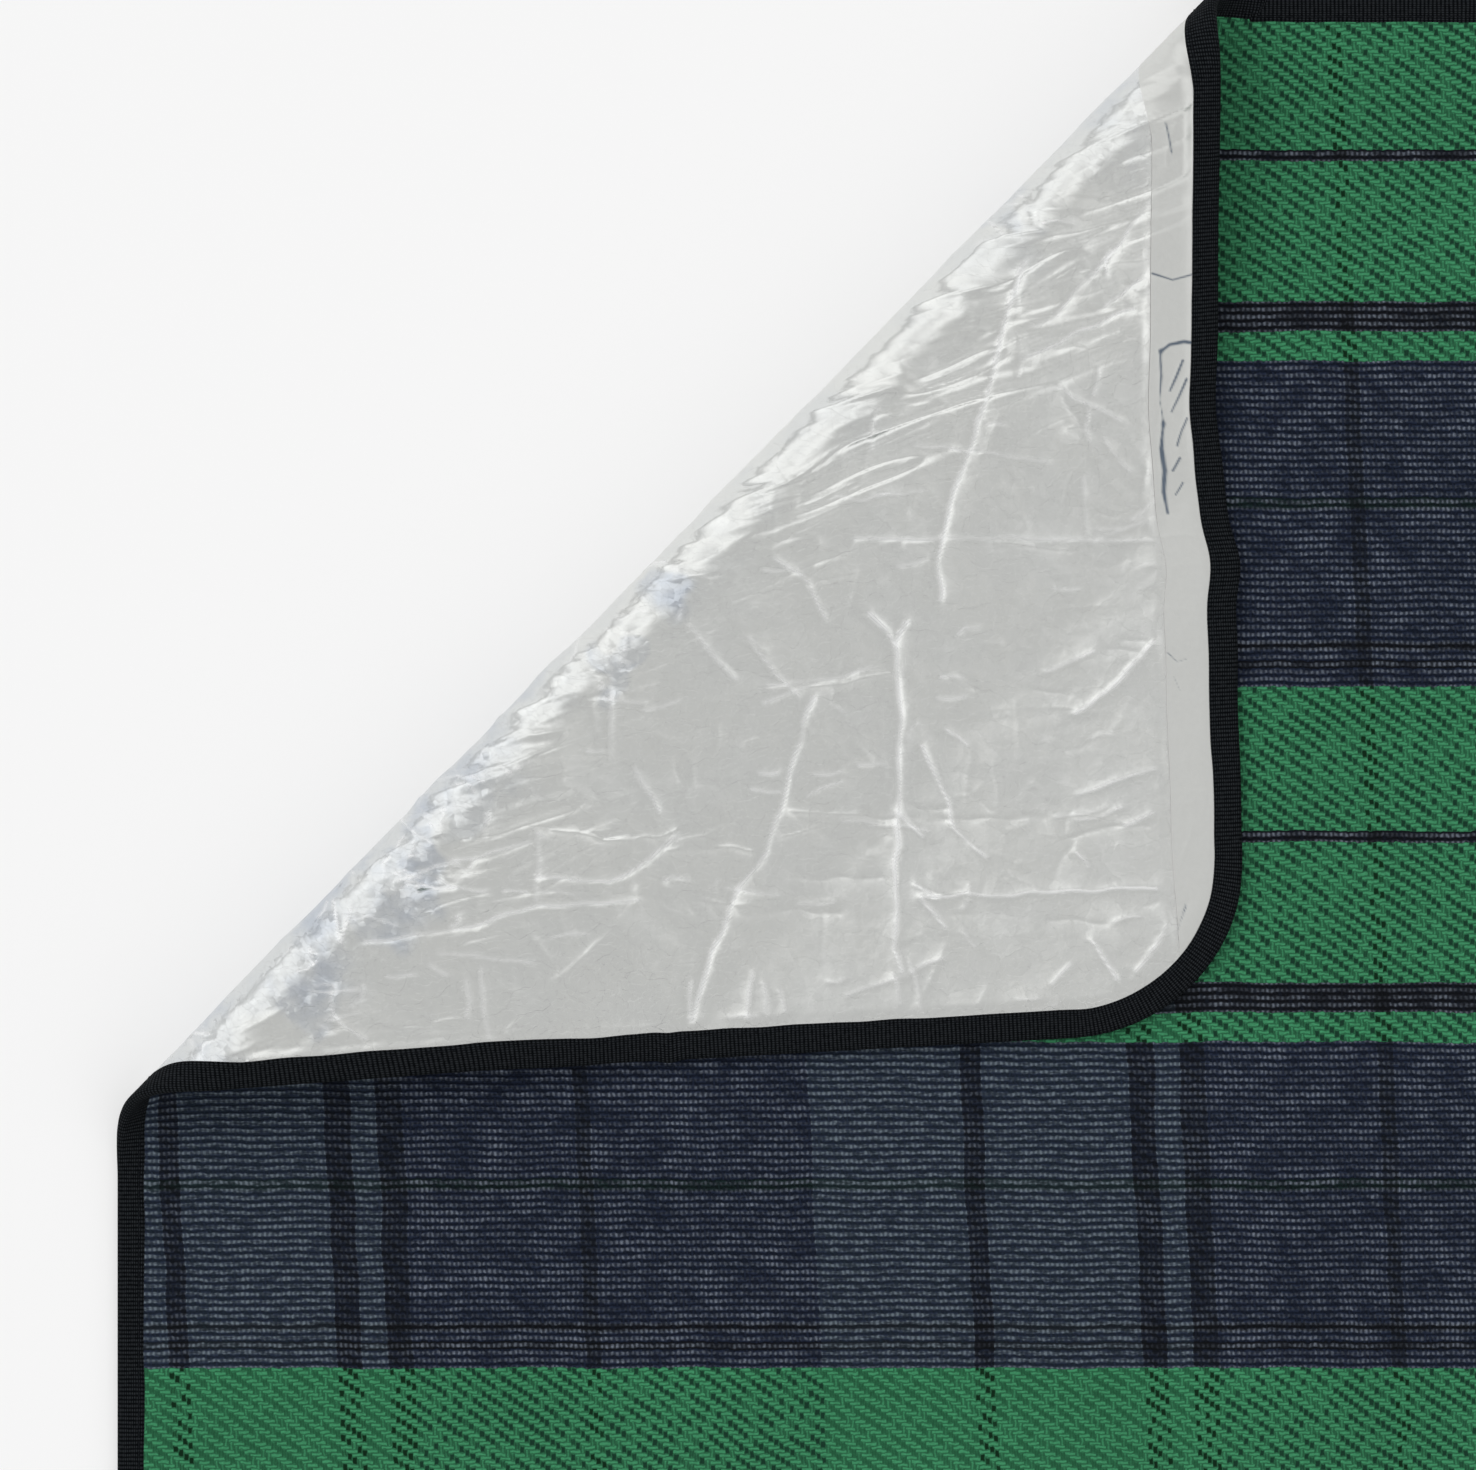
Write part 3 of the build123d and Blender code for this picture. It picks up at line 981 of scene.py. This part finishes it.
def threads_from_edges(n, vector, u, v):
    """How many warp ends a point lies from the left edge and weft picks from the rear one."""
    leaning = n.sub(u, n.mul(n.sub(HALF[1] - LEAN_FROM, v), LEAN))
    x = n.mul(n.add(leaning, HALF[0]), 1 / END_PITCH)
    y = n.mul(n.sub(HALF[1], v), 1 / PICK_PITCH)
    x = n.plus(x, 1.6, n.noise(vector, 45.0, 1.0))
    y = n.plus(y, 1.4, n.noise(n.vector(v, u, 0.3), 40.0, 1.0))
    x = n.plus(x, 0.5, n.noise(n.vector(u, v, 5.0), 520.0, 1.0))
    y = n.plus(y, 0.9, n.noise(n.vector(u, v, 9.0), 480.0, 1.0))
    return x, y


def place_in_repeat(n, thread, start, bands):
    """How far through the tartan's repeat a thread lies, from 0 to 1."""
    return n.maths("FRACT", n.mul(n.add(n.sub(thread, start), 0.5), 1 / thread_count(bands)))


def tartan_material():
    """Loose twill: fluffy green wefts that hide the warp, and thin navy ones that let the foam show."""
    n = Material("tartan")
    vector, u, v = n.pattern()
    x, y = threads_from_edges(n, vector, u, v)
    end, pick = n.maths("FLOOR", x), n.maths("FLOOR", y)
    down = n.maths("FRACT", y)
    step = n.maths("FLOORED_MODULO", n.sub(end, pick), 4.0)
    warp_up = n.maths("LESS_THAN", step, 1.5)
    off_end = n.off_middle(n.maths("FRACT", x))
    off_pick = n.off_middle(down)
    off_pair = n.off_middle(n.maths("FRACT", n.mul(y, 0.5)))
    float_down = n.off_middle(n.mul(n.add(n.flip(step), down), 0.5))

    # Each thread's colour, and where the bands change how the cloth is woven
    weft_place = place_in_repeat(n, pick, WEFT_START / PICK_PITCH, WEFT_BANDS)
    warp_place = place_in_repeat(n, end, WARP_START / END_PITCH, WARP_BANDS)
    weft = n.stripes(weft_place, shares(WEFT_BANDS))
    warp = n.stripes(warp_place, shares(WARP_BANDS))
    thin = n.flip(n.stripes(weft_place, only(WEFT_BANDS, GREEN_WEFT)))
    green_warp = n.stripes(warp_place, only(WARP_BANDS, GREEN_WARP))
    black_warp = n.stripes(warp_place, only(WARP_BANDS, BLACK_WARP))

    # Where the warp floats over the wefts: mostly dark, at some crossings lit
    width = n.flip(n.between(off_end, 0.24, 0.50))
    length = n.flip(n.between(float_down, 0.28, 0.52))
    dark = n.between(n.chance(end, n.add(pick, step)), 0.05, 0.50)
    warp_shows = n.mul(n.mul(n.mul(warp_up, width), length), n.plus(0.22, 0.72, dark))
    warp_shows = n.mul(warp_shows, n.flip(n.mul(thin, 0.6)))
    warp_shows = n.mul(warp_shows, n.sub(n.plus(0.95, 0.35, black_warp), n.mul(green_warp, 0.35)))

    # The wefts' round tops and their fluff. The weft's colour carries painted shade: darker at each pick's
    # edges than along its top.
    fibres = n.noise(n.vector(n.mul(u, 0.6), v), 4200.0, 3.0, 0.7)
    clumps = n.noise(n.vector(u, v, 1.7), 800.0, 2.0)
    weft_top = n.flip(n.between(off_pick, 0.15, 0.5))
    lit_end = n.flip(n.between(off_end, 0.04, 0.30))
    weft_shade = n.plus(0.66, 0.76, n.mul(weft_top, n.flip(warp_up)))
    weft_shade = n.add(weft_shade, n.mul(n.mul(warp_up, lit_end), n.sub(0.75, n.mul(dark, 0.45))))
    weft_shade = n.mul(weft_shade, n.plus(0.30, 0.70, n.add(fibres, clumps)))
    weft_lit = n.mix(1.0, weft, n.grey(weft_shade), "MULTIPLY")
    warp = n.mix(n.mul(thin, green_warp), warp, linear(22, 34, 40))
    under_weft = n.mix(1.0, weft, (0.14, 0.20, 0.14, 1), "MULTIPLY")
    warp_lit = n.mix(n.mul(n.flip(thin), 0.55), warp, under_weft)
    colour = n.mix(warp_shows, weft_lit, warp_lit)
    colour = n.mix(n.mul(n.mul(thin, black_warp), 0.45), colour, BLACK_WARP)

    # The pale foam between the thin wefts: dots beside the navy warp, dashes beside the green one
    cloud = n.between(n.noise(vector, 95.0, 4.0, 0.65), 0.36, 0.66)
    between_ends = n.between(off_end, 0.12, 0.40)
    between_picks = n.between(off_pair, 0.16, 0.42)
    dot_chance = n.chance(end, n.maths("FLOOR", n.mul(y, 0.5)))
    dot = n.mul(n.plus(0.17, 0.70, between_ends), n.plus(0.55, 0.45, dot_chance))
    dot = n.mul(dot, n.plus(0.10, 0.46, cloud))
    streaks = n.between(n.noise(n.vector(n.mul(u, 0.35), v, 8.0), 620.0, 2.0), 0.36, 0.60)
    dash = n.mul(n.plus(0.14, 0.26, between_ends), n.plus(0.25, 0.9, streaks))
    light = n.add(n.mul(dot, n.flip(green_warp)), n.mul(dash, green_warp))
    light = n.mul(n.mul(light, between_picks), n.mul(thin, n.flip(n.mul(black_warp, 0.45))))
    colour = n.mix(light, colour, n.mix(green_warp, linear(158, 168, 184), linear(150, 164, 176)))

    # A pale veil where green warp crosses thin wefts, and slow drifts of shade
    colour = n.mix(n.mul(n.mul(thin, green_warp), 0.10), colour, linear(60, 74, 86))
    drift = n.plus(0.90, 0.2, n.noise(vector, 22.0, 2.0))
    colour = n.mix(1.0, colour, n.grey(drift), "MULTIPLY")
    n.matt(0.95, 0.08)
    height = n.plus(n.mul(weft_top, n.flip(n.mul(warp_shows, 0.8))), 0.5, fibres)
    return n.skin(colour, height, 0.30 * MM, 0.6)


def foam_material():
    """Soft white closed-cell foam."""
    n = Material("foam")
    vector, _, _ = n.pattern()
    cells = n.noise(vector, 1400.0, 3.0, 0.6)
    colour = n.mix(cells, linear(214, 216, 214), linear(236, 238, 236))
    n.shader.inputs["Roughness"].default_value = 0.85
    return n.skin(colour, cells, 0.2 * MM, 0.6)


def foil_material():
    """Bright metallised film, satin, with painted shade, darker and blue-grey, where it is most crumpled, and
    painted highlights along its crease tops.
    """
    n = Material("foil")
    vector, u, v = n.pattern()
    crumpled = n.kept("crumple")
    # Painted shade: the colour turns darker and blue-grey where the film is crumpled, along the fold and in
    # small patches
    patches = n.between(n.noise(vector, 40.0, 3.0, 0.6), 0.40, 0.66)
    painted_shade = n.mul(crumpled, n.plus(0.30, 0.70, patches))
    colour = n.mix(painted_shade, linear(231, 232, 229), linear(200, 206, 214))
    # Painted highlight: a pale, less metallic line along the tops of the sharper creases
    worn = n.kept("worn")
    colour = n.mix(worn, colour, linear(246, 247, 247))
    n.link(n.flip(n.mul(worn, 0.8)), n.shader.inputs["Metallic"])
    rough = n.plus(0.16, 0.09, n.noise(vector, 260.0, 2.0))
    n.link(n.plus(rough, 0.04, crumpled), n.shader.inputs["Roughness"])
    bent_u = n.plus(u, 6 * MM, n.noise(vector, 150.0, 2.0))
    bent_v = n.plus(v, 6 * MM, n.noise(n.vector(v, u, 2.0), 150.0, 2.0))
    coarse = n.tilted_facets(n.vector(bent_u, bent_v), 110.0)
    small = n.tilted_facets(n.vector(bent_v, bent_u), 420.0)
    slopes = n.add(n.mul(coarse, 0.040), n.mul(small, n.plus(0.018, 0.20, crumpled)))
    height = n.plus(slopes, 0.040 * MM, n.noise(vector, 300.0, 4.0, 0.65))
    return n.skin(colour, height, 1.0, 1.0)


def strip_material():
    """The smooth strip: a duller film, dark blue-grey where it has cracked."""
    n = Material("edge_strip")
    vector, _, _ = n.pattern()
    grain = n.noise(vector, 500.0, 3.0, 0.6)
    colour = n.mix(grain, linear(212, 213, 210), linear(220, 221, 218))
    crack = n.kept("crack")
    colour = n.mix(crack, colour, linear(84, 96, 110))
    n.link(n.mul(n.flip(crack), 0.85), n.shader.inputs["Metallic"])
    n.shader.inputs["Roughness"].default_value = 0.38
    crumpled = n.kept("crumple")
    facets = n.mul(n.tilted_facets(vector, 380.0), n.mul(crumpled, 0.14))
    return n.skin(colour, n.plus(facets, 0.03 * MM, grain), 1.0, 1.0)


# The distances between the tape's ribs, between its threads, and between the twists of the sewing thread
RIB_PITCH = 1.35 * MM
TAPE_THREAD_PITCH = 0.75 * MM
TWIST_PITCH = 0.5 * MM


def wave(n, position, pitch, wander=0.0):
    """Even waves from 0 to 1 along a position."""
    return n.plus(0.5, 0.5, n.maths("SINE", n.add(n.mul(position, 2 * math.pi / pitch), wander)))


def binding_material():
    """Black woven tape with fine ribs across it."""
    n = Material("binding")
    vector, along, girth = n.pattern()
    rib = wave(n, along, RIB_PITCH, n.mul(n.noise(vector, 120.0, 1.0), 2.0))
    weave = wave(n, girth, TAPE_THREAD_PITCH)
    mottle = n.noise(vector, 700.0, 3.0, 0.65)
    shade = n.add(n.mul(n.mul(rib, weave), 0.7), n.mul(mottle, 0.6))
    colour = n.mix(n.between(shade, 0.25, 0.85), linear(2, 4, 6), linear(39, 42, 45))
    n.matt(0.9, 0.06)
    height = n.plus(n.mul(rib, 0.7), 0.5, n.mul(weave, mottle))
    return n.skin(colour, height, 0.22 * MM, 0.8)


def thread_material():
    """Twisted black polyester."""
    n = Material("thread")
    _, along, girth = n.pattern()
    shade = wave(n, n.add(along, girth), TWIST_PITCH)
    n.matt(0.9, 0.06)
    return n.skin(n.mix(shade, linear(9, 11, 14), linear(28, 31, 35)), shade, 0.08 * MM, 0.6)


# ---- The layers ----

# How far in from the sheet's edge the layers end, and the strips, under the tape
HIDDEN_EDGE = 2.5 * MM
STRIP_EDGE = 5.5 * MM
STRIP_THICK = 0.12 * MM

# The foam's face lies this far behind the cloth's back
LAYER_GAP = 0.02 * MM


def declare_sheets(made, rests_on):
    """Looks up the pieces that each piece rests on, and does nothing more with them."""
    for name, piece in made.items():
        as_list(rests_on(name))


def layer_pieces(layer, grids, top, bottom, material):
    """A layer's pieces, from its grids and the depths of its two faces."""
    builder = Builder()
    inward = np.sign(bottom(np.zeros(1), np.zeros(1)) - top(np.zeros(1), np.zeros(1)))
    for number, (u, v, inside) in enumerate(grids):
        u, v, keep = fit_to_outline(u, v, HIDDEN_EDGE, inside)
        tuck = tucked(u, v) * inward * number
        builder.add_slab(u, v, keep, top(u, v) + tuck, bottom(u, v) + tuck)
    return builder, builder.finish(layer, material)


def at_depth(depth):
    """A face at one depth all over."""
    return lambda u, v: np.full_like(u, depth)


def film_face(u, v):
    """The depth of the film's bright face."""
    return FILM_FACE + film_height(u, v)


def film_back(u, v):
    """The depth of the film's back, against the foam."""
    return film_face(u, v) - FILM_THICK


# Most of the cracks lie between these distances from the left edge
CRACKED = (80 * MM, 280 * MM)


def strip_grid(side):
    """A grid along one long edge, from under the tape to the strip's inner edge, finest over the cracks."""
    step = 4 * MM
    stops = [-HALF[0], *FOLD_ZONES, HALF[0]]
    steps = [step, FOLD_STEP, step, FOLD_STEP, step]
    step_across = 0.9 * MM
    if side > 0:
        stops[1:1] = [-HALF[0] + reach for reach in (*CRACKED, CORNER_ALONG_REAR)]
        steps[:0] = [0.8 * MM, 0.4 * MM, 0.8 * MM]
        step_across = 0.5 * MM
    u = lines(stops, steps)
    v = side * lines([HALF[1] - UNDER_LEG - EDGE_STRIP, HALF[1] - 4 * MM], [step_across])
    uu, vv = np.meshgrid(u, v, indexing="ij")
    return uu, vv, np.ones((len(u) - 1, len(v) - 1), bool)


def strip_face(u, v):
    """The depth of the strip's face."""
    return FILM_FACE + strip_height(u, v)


def crack_depth(u, v):
    """How cracked the strip is, from 0 to 1."""
    x, y = rest_frame(u, v)
    cracks = [crack for crack in STRIP_CRACKS if crack[0] < 0]
    return smooth(-crease_height(x, y, cracks, CRACK_WANDER), 0.07, 0.22)


# How far in from the edge the round of the tape's U begins
NOSE = 1.7 * MM


def tape_section():
    """The tape's section: distances in from the edge, and depths, round the U and back along its inside."""
    middle = THICK / 2
    outside = [(UPPER_LEG - 0.1 * MM, 0.20 * MM), (UPPER_LEG - 0.6 * MM, 0.02 * MM), (6 * MM, -0.08 * MM),
               (3.4 * MM, -0.06 * MM)]
    for degrees in range(90, -91, -20):
        angle = math.radians(degrees)
        outside.append((NOSE * (1 - math.cos(angle)), middle - middle * math.sin(angle)))
    outside += [(3.4 * MM, THICK), (6 * MM, THICK), (UNDER_LEG - 0.6 * MM, THICK - 0.02 * MM),
                (UNDER_LEG - 0.1 * MM, THICK - 0.20 * MM)]
    inside = [(UNDER_LEG - 0.2 * MM, THICK - TAPE_THICK), (4 * MM, THICK - TAPE_THICK),
              (NOSE, middle), (4 * MM, TAPE_THICK), (UPPER_LEG - 0.2 * MM, TAPE_THICK)]
    return outside + inside


# The step along the tape where it bends, and elsewhere
TAPE_FINE = 1.5 * MM
TAPE_COARSE = 4 * MM


def outline_walk():
    """Points on the sheet's outline, in order, with the way out and the length walked."""
    fine, coarse = TAPE_FINE, TAPE_COARSE
    end_u, end_v = HALF[0] - CORNER_RADIUS, HALF[1] - CORNER_RADIUS
    left = lines([-end_v, HALF[1] - CORNER_ALONG_LEFT, end_v], [coarse, fine])
    rear = lines([-end_u, -HALF[0] + CORNER_ALONG_REAR, *FOLD_ZONES, end_u],
                 [fine, coarse, fine, coarse, fine, coarse])
    right = lines([end_v, -end_v], [-coarse])
    front = lines([end_u, *FOLD_ZONES[::-1], -end_u], [-coarse, -fine, -coarse, -fine, -coarse])
    places = [(-HALF[0], v, -1.0, 0.0) for v in left[:-1]]
    places += round_corner(-end_u, end_v, 180, fine)
    places += [(u, HALF[1], 0.0, 1.0) for u in rear[:-1]]
    places += round_corner(end_u, end_v, 90, coarse)
    places += [(HALF[0], v, 1.0, 0.0) for v in right[:-1]]
    places += round_corner(end_u, -end_v, 0, coarse)
    places += [(u, -HALF[1], 0.0, -1.0) for u in front[:-1]]
    places += round_corner(-end_u, -end_v, -90, coarse)
    places = np.array(places)
    steps = np.linalg.norm(np.diff(places[:, :2], axis=0, append=places[:1, :2]), axis=1)
    return places, np.concatenate([[0], np.cumsum(steps)])


def round_corner(centre_u, centre_v, start, step):
    """Points round one corner of the outline, clockwise from a direction in degrees."""
    count = round(CORNER_RADIUS * math.pi / 2 / step)
    angles = [math.radians(start - 90 * i / count) for i in range(count)]
    return [(centre_u + CORNER_RADIUS * math.cos(a), centre_v + CORNER_RADIUS * math.sin(a),
             math.cos(a), math.sin(a)) for a in angles]


def make_tape(material):
    """The tape, swept round the outline."""
    places, walked = outline_walk()
    section = np.array(tape_section())
    count, around = len(places), len(section)
    ripple = (noise(walked[:-1] / (11 * MM), np.zeros(count), 81) - 0.5) * 0.5 * MM
    legs = section[None, :, 0] + ripple[:, None] * smooth(section[None, :, 0], 4 * MM, UPPER_LEG - 1 * MM)
    u = places[:, 0, None] - legs * places[:, 2, None]
    v = places[:, 1, None] - legs * places[:, 3, None]
    depth = np.broadcast_to(section[None, :, 1], u.shape)
    points = place(u, v, depth).reshape(-1, 3)
    girth = np.concatenate([[0], np.cumsum(np.linalg.norm(np.diff(section, axis=0), axis=1))])
    ring, station = np.meshgrid(np.arange(count), np.arange(around), indexing="ij")
    next_ring, next_station = (ring + 1) % count, (station + 1) % around
    quads = np.stack([ring * around + station, next_ring * around + station,
                      next_ring * around + next_station, ring * around + next_station], -1)
    closing = np.roll(u, -1, 0), np.roll(v, -1, 0)
    numbers = piece_of((u + closing[0]) / 2, (v + closing[1]) / 2)
    pattern = np.stack([np.broadcast_to(walked[:-1, None], u.shape),
                        np.broadcast_to(girth[None, :], u.shape)], -1).reshape(-1, 2)
    builder = Builder()
    for number, name in enumerate(PIECES):
        chosen = quads[numbers == number]
        used, local = np.unique(chosen, return_inverse=True)
        builder.add(name, points[used], local.reshape(-1, 4), pattern[used])
    return builder.finish("binding_tape", material)


# The stitches' spacing, length and radius, and how far in from the leg's end they run
STITCH_PITCH = 3.3 * MM
STITCH_LENGTH = 2.5 * MM
STITCH_RADIUS = 0.24 * MM
STITCH_INSET = 1.8 * MM


def stitch_shape():
    """One stitch: points along it, across it and up from the tape, and its faces."""
    stations = [(-0.5, 0.35), (-0.36, 0.9), (0.0, 1.0), (0.36, 0.9), (0.5, 0.35)]
    sides = 6
    points = []
    for share, size in stations:
        for i in range(sides):
            angle = 2 * math.pi * i / sides
            height = math.sin(angle) - 1.6 * (2 * abs(share)) ** 2 + 0.2
            points.append((share * STITCH_LENGTH, size * STITCH_RADIUS * math.cos(angle),
                           STITCH_RADIUS * size * height))
    faces = []
    for k in range(len(stations) - 1):
        for i in range(sides):
            j = (i + 1) % sides
            faces.append((k * sides + i, k * sides + j, (k + 1) * sides + j, (k + 1) * sides + i))
    last = (len(stations) - 1) * sides
    for base, order in ((0, (3, 2, 1, 0)), (0, (5, 4, 3, 0)), (last, (0, 1, 2, 3)), (last, (0, 3, 4, 5))):
        faces.append(tuple(base + i for i in order))
    return np.array(points), np.array(faces)


def make_thread(material):
    """The stitches along the tape's upper leg and its lower leg."""
    places, walked = outline_walk()
    shape, faces = stitch_shape()
    builder = Builder()
    closed = np.concatenate([places, places[:1]])
    rows = [(UPPER_LEG - STITCH_INSET, -1.0, -0.05 * MM),
            (UNDER_LEG - STITCH_INSET, 1.0, THICK - 0.12 * MM)]
    for inset, upward, level in rows:
        at = np.arange(0, walked[-1] - STITCH_PITCH, STITCH_PITCH)
        spots = np.stack([np.interp(at, walked, closed[:, k]) for k in range(4)], -1)
        out = spots[:, 2:] / np.linalg.norm(spots[:, 2:], axis=1, keepdims=True)
        way = np.stack([-out[:, 1], out[:, 0]], -1)
        middle = spots[:, :2] - inset * out
        flat = (middle[:, None, :] + shape[None, :, 0, None] * way[:, None, :]
                + shape[None, :, 1, None] * out[:, None, :])
        depth = np.broadcast_to(level + upward * shape[None, :, 2], flat.shape[:2])
        points = place(flat[..., 0], flat[..., 1], depth)
        pattern = np.tile(shape[:, :2], (len(flat), 1, 1))
        numbers = piece_of(middle[:, 0], middle[:, 1])
        size = len(shape)
        order = faces if upward < 0 else faces[:, ::-1]
        for number, name in enumerate(PIECES):
            chosen = np.flatnonzero(numbers == number)
            if len(chosen) == 0:
                continue
            every = (order[None] + size * np.arange(len(chosen))[:, None, None]).reshape(-1, 4)
            builder.add(name, points[chosen].reshape(-1, 3), every, pattern[chosen].reshape(-1, 2))
    return builder.finish("seam_thread", material)


# Each layer's grid steps: over the corner, round the roll, and over the rest
CLOTH_STEPS = (4 * MM, 1.2 * MM, 8 * MM)
FOAM_STEPS = (6 * MM, 1.6 * MM, 10 * MM)
FILM_STEPS = (0.8 * MM, 0.8 * MM, 5 * MM)


def grids(corner_step, arc_step, rest_step):
    """A layer's two grids, the corner's and the rest's."""
    return [corner_grid(corner_step, arc_step), rest_grid(rest_step)]


cloth_builder, cloth = layer_pieces(
    "tartan_cloth", grids(*CLOTH_STEPS), at_depth(CLOTH_TOP), at_depth(CLOTH_BOTTOM),
    tartan_material())
foam_builder, foam = layer_pieces(
    "foam_core", grids(*FOAM_STEPS), at_depth(CLOTH_BOTTOM + LAYER_GAP), at_depth(FOAM_BOTTOM),
    foam_material())
foil_builder, foil = layer_pieces(
    "foil_film", grids(*FILM_STEPS), film_face, film_back, foil_material())
for piece in foil.values():
    note(piece, "crumple", crumple)
    # The painted highlight along the crease tops
    note(piece, "worn", crease_highlight)

strip_look = strip_material()
for place_name, side in (("rear", 1.0), ("front", -1.0)):
    strip_builder = Builder()
    u, v, inside = strip_grid(side)
    u, v, keep = fit_to_outline(u, v, STRIP_EDGE, inside)
    face = strip_face(u, v)
    strip_builder.add_slab(u, v, keep, face, face - STRIP_THICK)
    strip = strip_builder.finish(f"edge_strip_{place_name}", strip_look)
    for piece in strip.values():
        note(piece, "crack", crack_depth)
        note(piece, "crumple", crumple)
    declare_sheets(strip, lambda name: [foil[name].name])

tape = make_tape(binding_material())
thread = make_thread(thread_material())

declare_sheets(cloth, lambda name: [foam[name].name])
declare_sheets(foam, lambda name: [foil[name].name])
declare_sheets(foil, lambda name: ["floor"] if name in ("base", "middle_third", "right_third")
               else [cloth["base"].name])

# ---- The studio: a pale floor, a soft sky and one broad soft light from the rear left ----

FLOOR_HALF = 6.0
FLOOR_DROP = 0.15 * MM
FLOOR_GREY = 0.45
FLOOR_GLOW = 0.47

# The sky's brightness overhead and in the ring round it, and its softly brighter areas: the way to each,
# how narrow it is, and how much it adds
ZENITH_LEVEL = 0.60
RING_LEVEL = 1.10
BRIGHT_AREAS = [((-0.24, 0.24, 0.94), 26.0, 0.46), ((-0.45, 0.38, 0.81), 30.0, 0.24),
                ((-0.74, 0.10, 0.66), 14.0, 0.30), ((0.63, 0.11, 0.77), 20.0, 0.30)]

KEY_DIRECTION = Vector((-0.55, 0.50, 0.75))
KEY_ANGLE = math.radians(25)
KEY_STRENGTH = 0.50
WHITE = (1.0, 1.0, 1.0, 1.0)


def make_floor():
    """A plain pale floor, which glows a little to stay even."""
    mesh = bpy.data.meshes.new("floor")
    signs = [(-1, -1), (1, -1), (1, 1), (-1, 1)]
    mesh.from_pydata([(x * FLOOR_HALF, y * FLOOR_HALF, -FLOOR_DROP) for x, y in signs], [], [(0, 1, 2, 3)])
    n = Material("floor")
    n.shader.inputs["Base Color"].default_value = (FLOOR_GREY, FLOOR_GREY, FLOOR_GREY, 1)
    n.shader.inputs["Emission Color"].default_value = WHITE
    n.shader.inputs["Emission Strength"].default_value = FLOOR_GLOW
    n.matt(0.9, 0.1)
    mesh.materials.append(n.material)
    floor = bpy.data.objects.new("floor", mesh)
    bpy.context.scene.collection.objects.link(floor)


def make_key_light():
    """A broad, even light, which the film doesn't mirror."""
    data = bpy.data.lights.new("key", "SUN")
    data.angle = KEY_ANGLE
    data.energy = KEY_STRENGTH
    lamp = bpy.data.objects.new("key", data)
    lamp.rotation_euler = KEY_DIRECTION.to_track_quat("Z", "Y").to_euler()
    lamp.location = KEY_DIRECTION
    lamp.visible_glossy = False
    bpy.context.scene.collection.objects.link(lamp)


def make_sky():
    """A studio dome: grey overhead, brighter in a ring round that, and dimmer down to the horizon."""
    world = bpy.data.worlds.new("studio")
    bpy.context.scene.world = world
    world.use_nodes = True
    n = Nodes(world.node_tree)
    direction = n.new("ShaderNodeTexCoord").outputs["Generated"]
    up = n.parts(direction)[2]
    level = n.mul(n.between(up, 0.0, 0.35, 0.45, 1.0), n.between(up, 0.50, 0.84, RING_LEVEL, ZENITH_LEVEL))
    for toward, power, strength in BRIGHT_AREAS:
        facing = n.vectors("DOT_PRODUCT", direction, Vector(toward).normalized(), "Value")
        level = n.plus(level, strength, n.maths("POWER", n.maths("MAXIMUM", facing, 0.0), power))
    background = n.tree.nodes["Background"]
    n.link(level, background.inputs["Strength"])
    background.inputs["Color"].default_value = WHITE


make_floor()
make_sky()
make_key_light()
bpy.context.scene.view_settings.view_transform = "Standard"
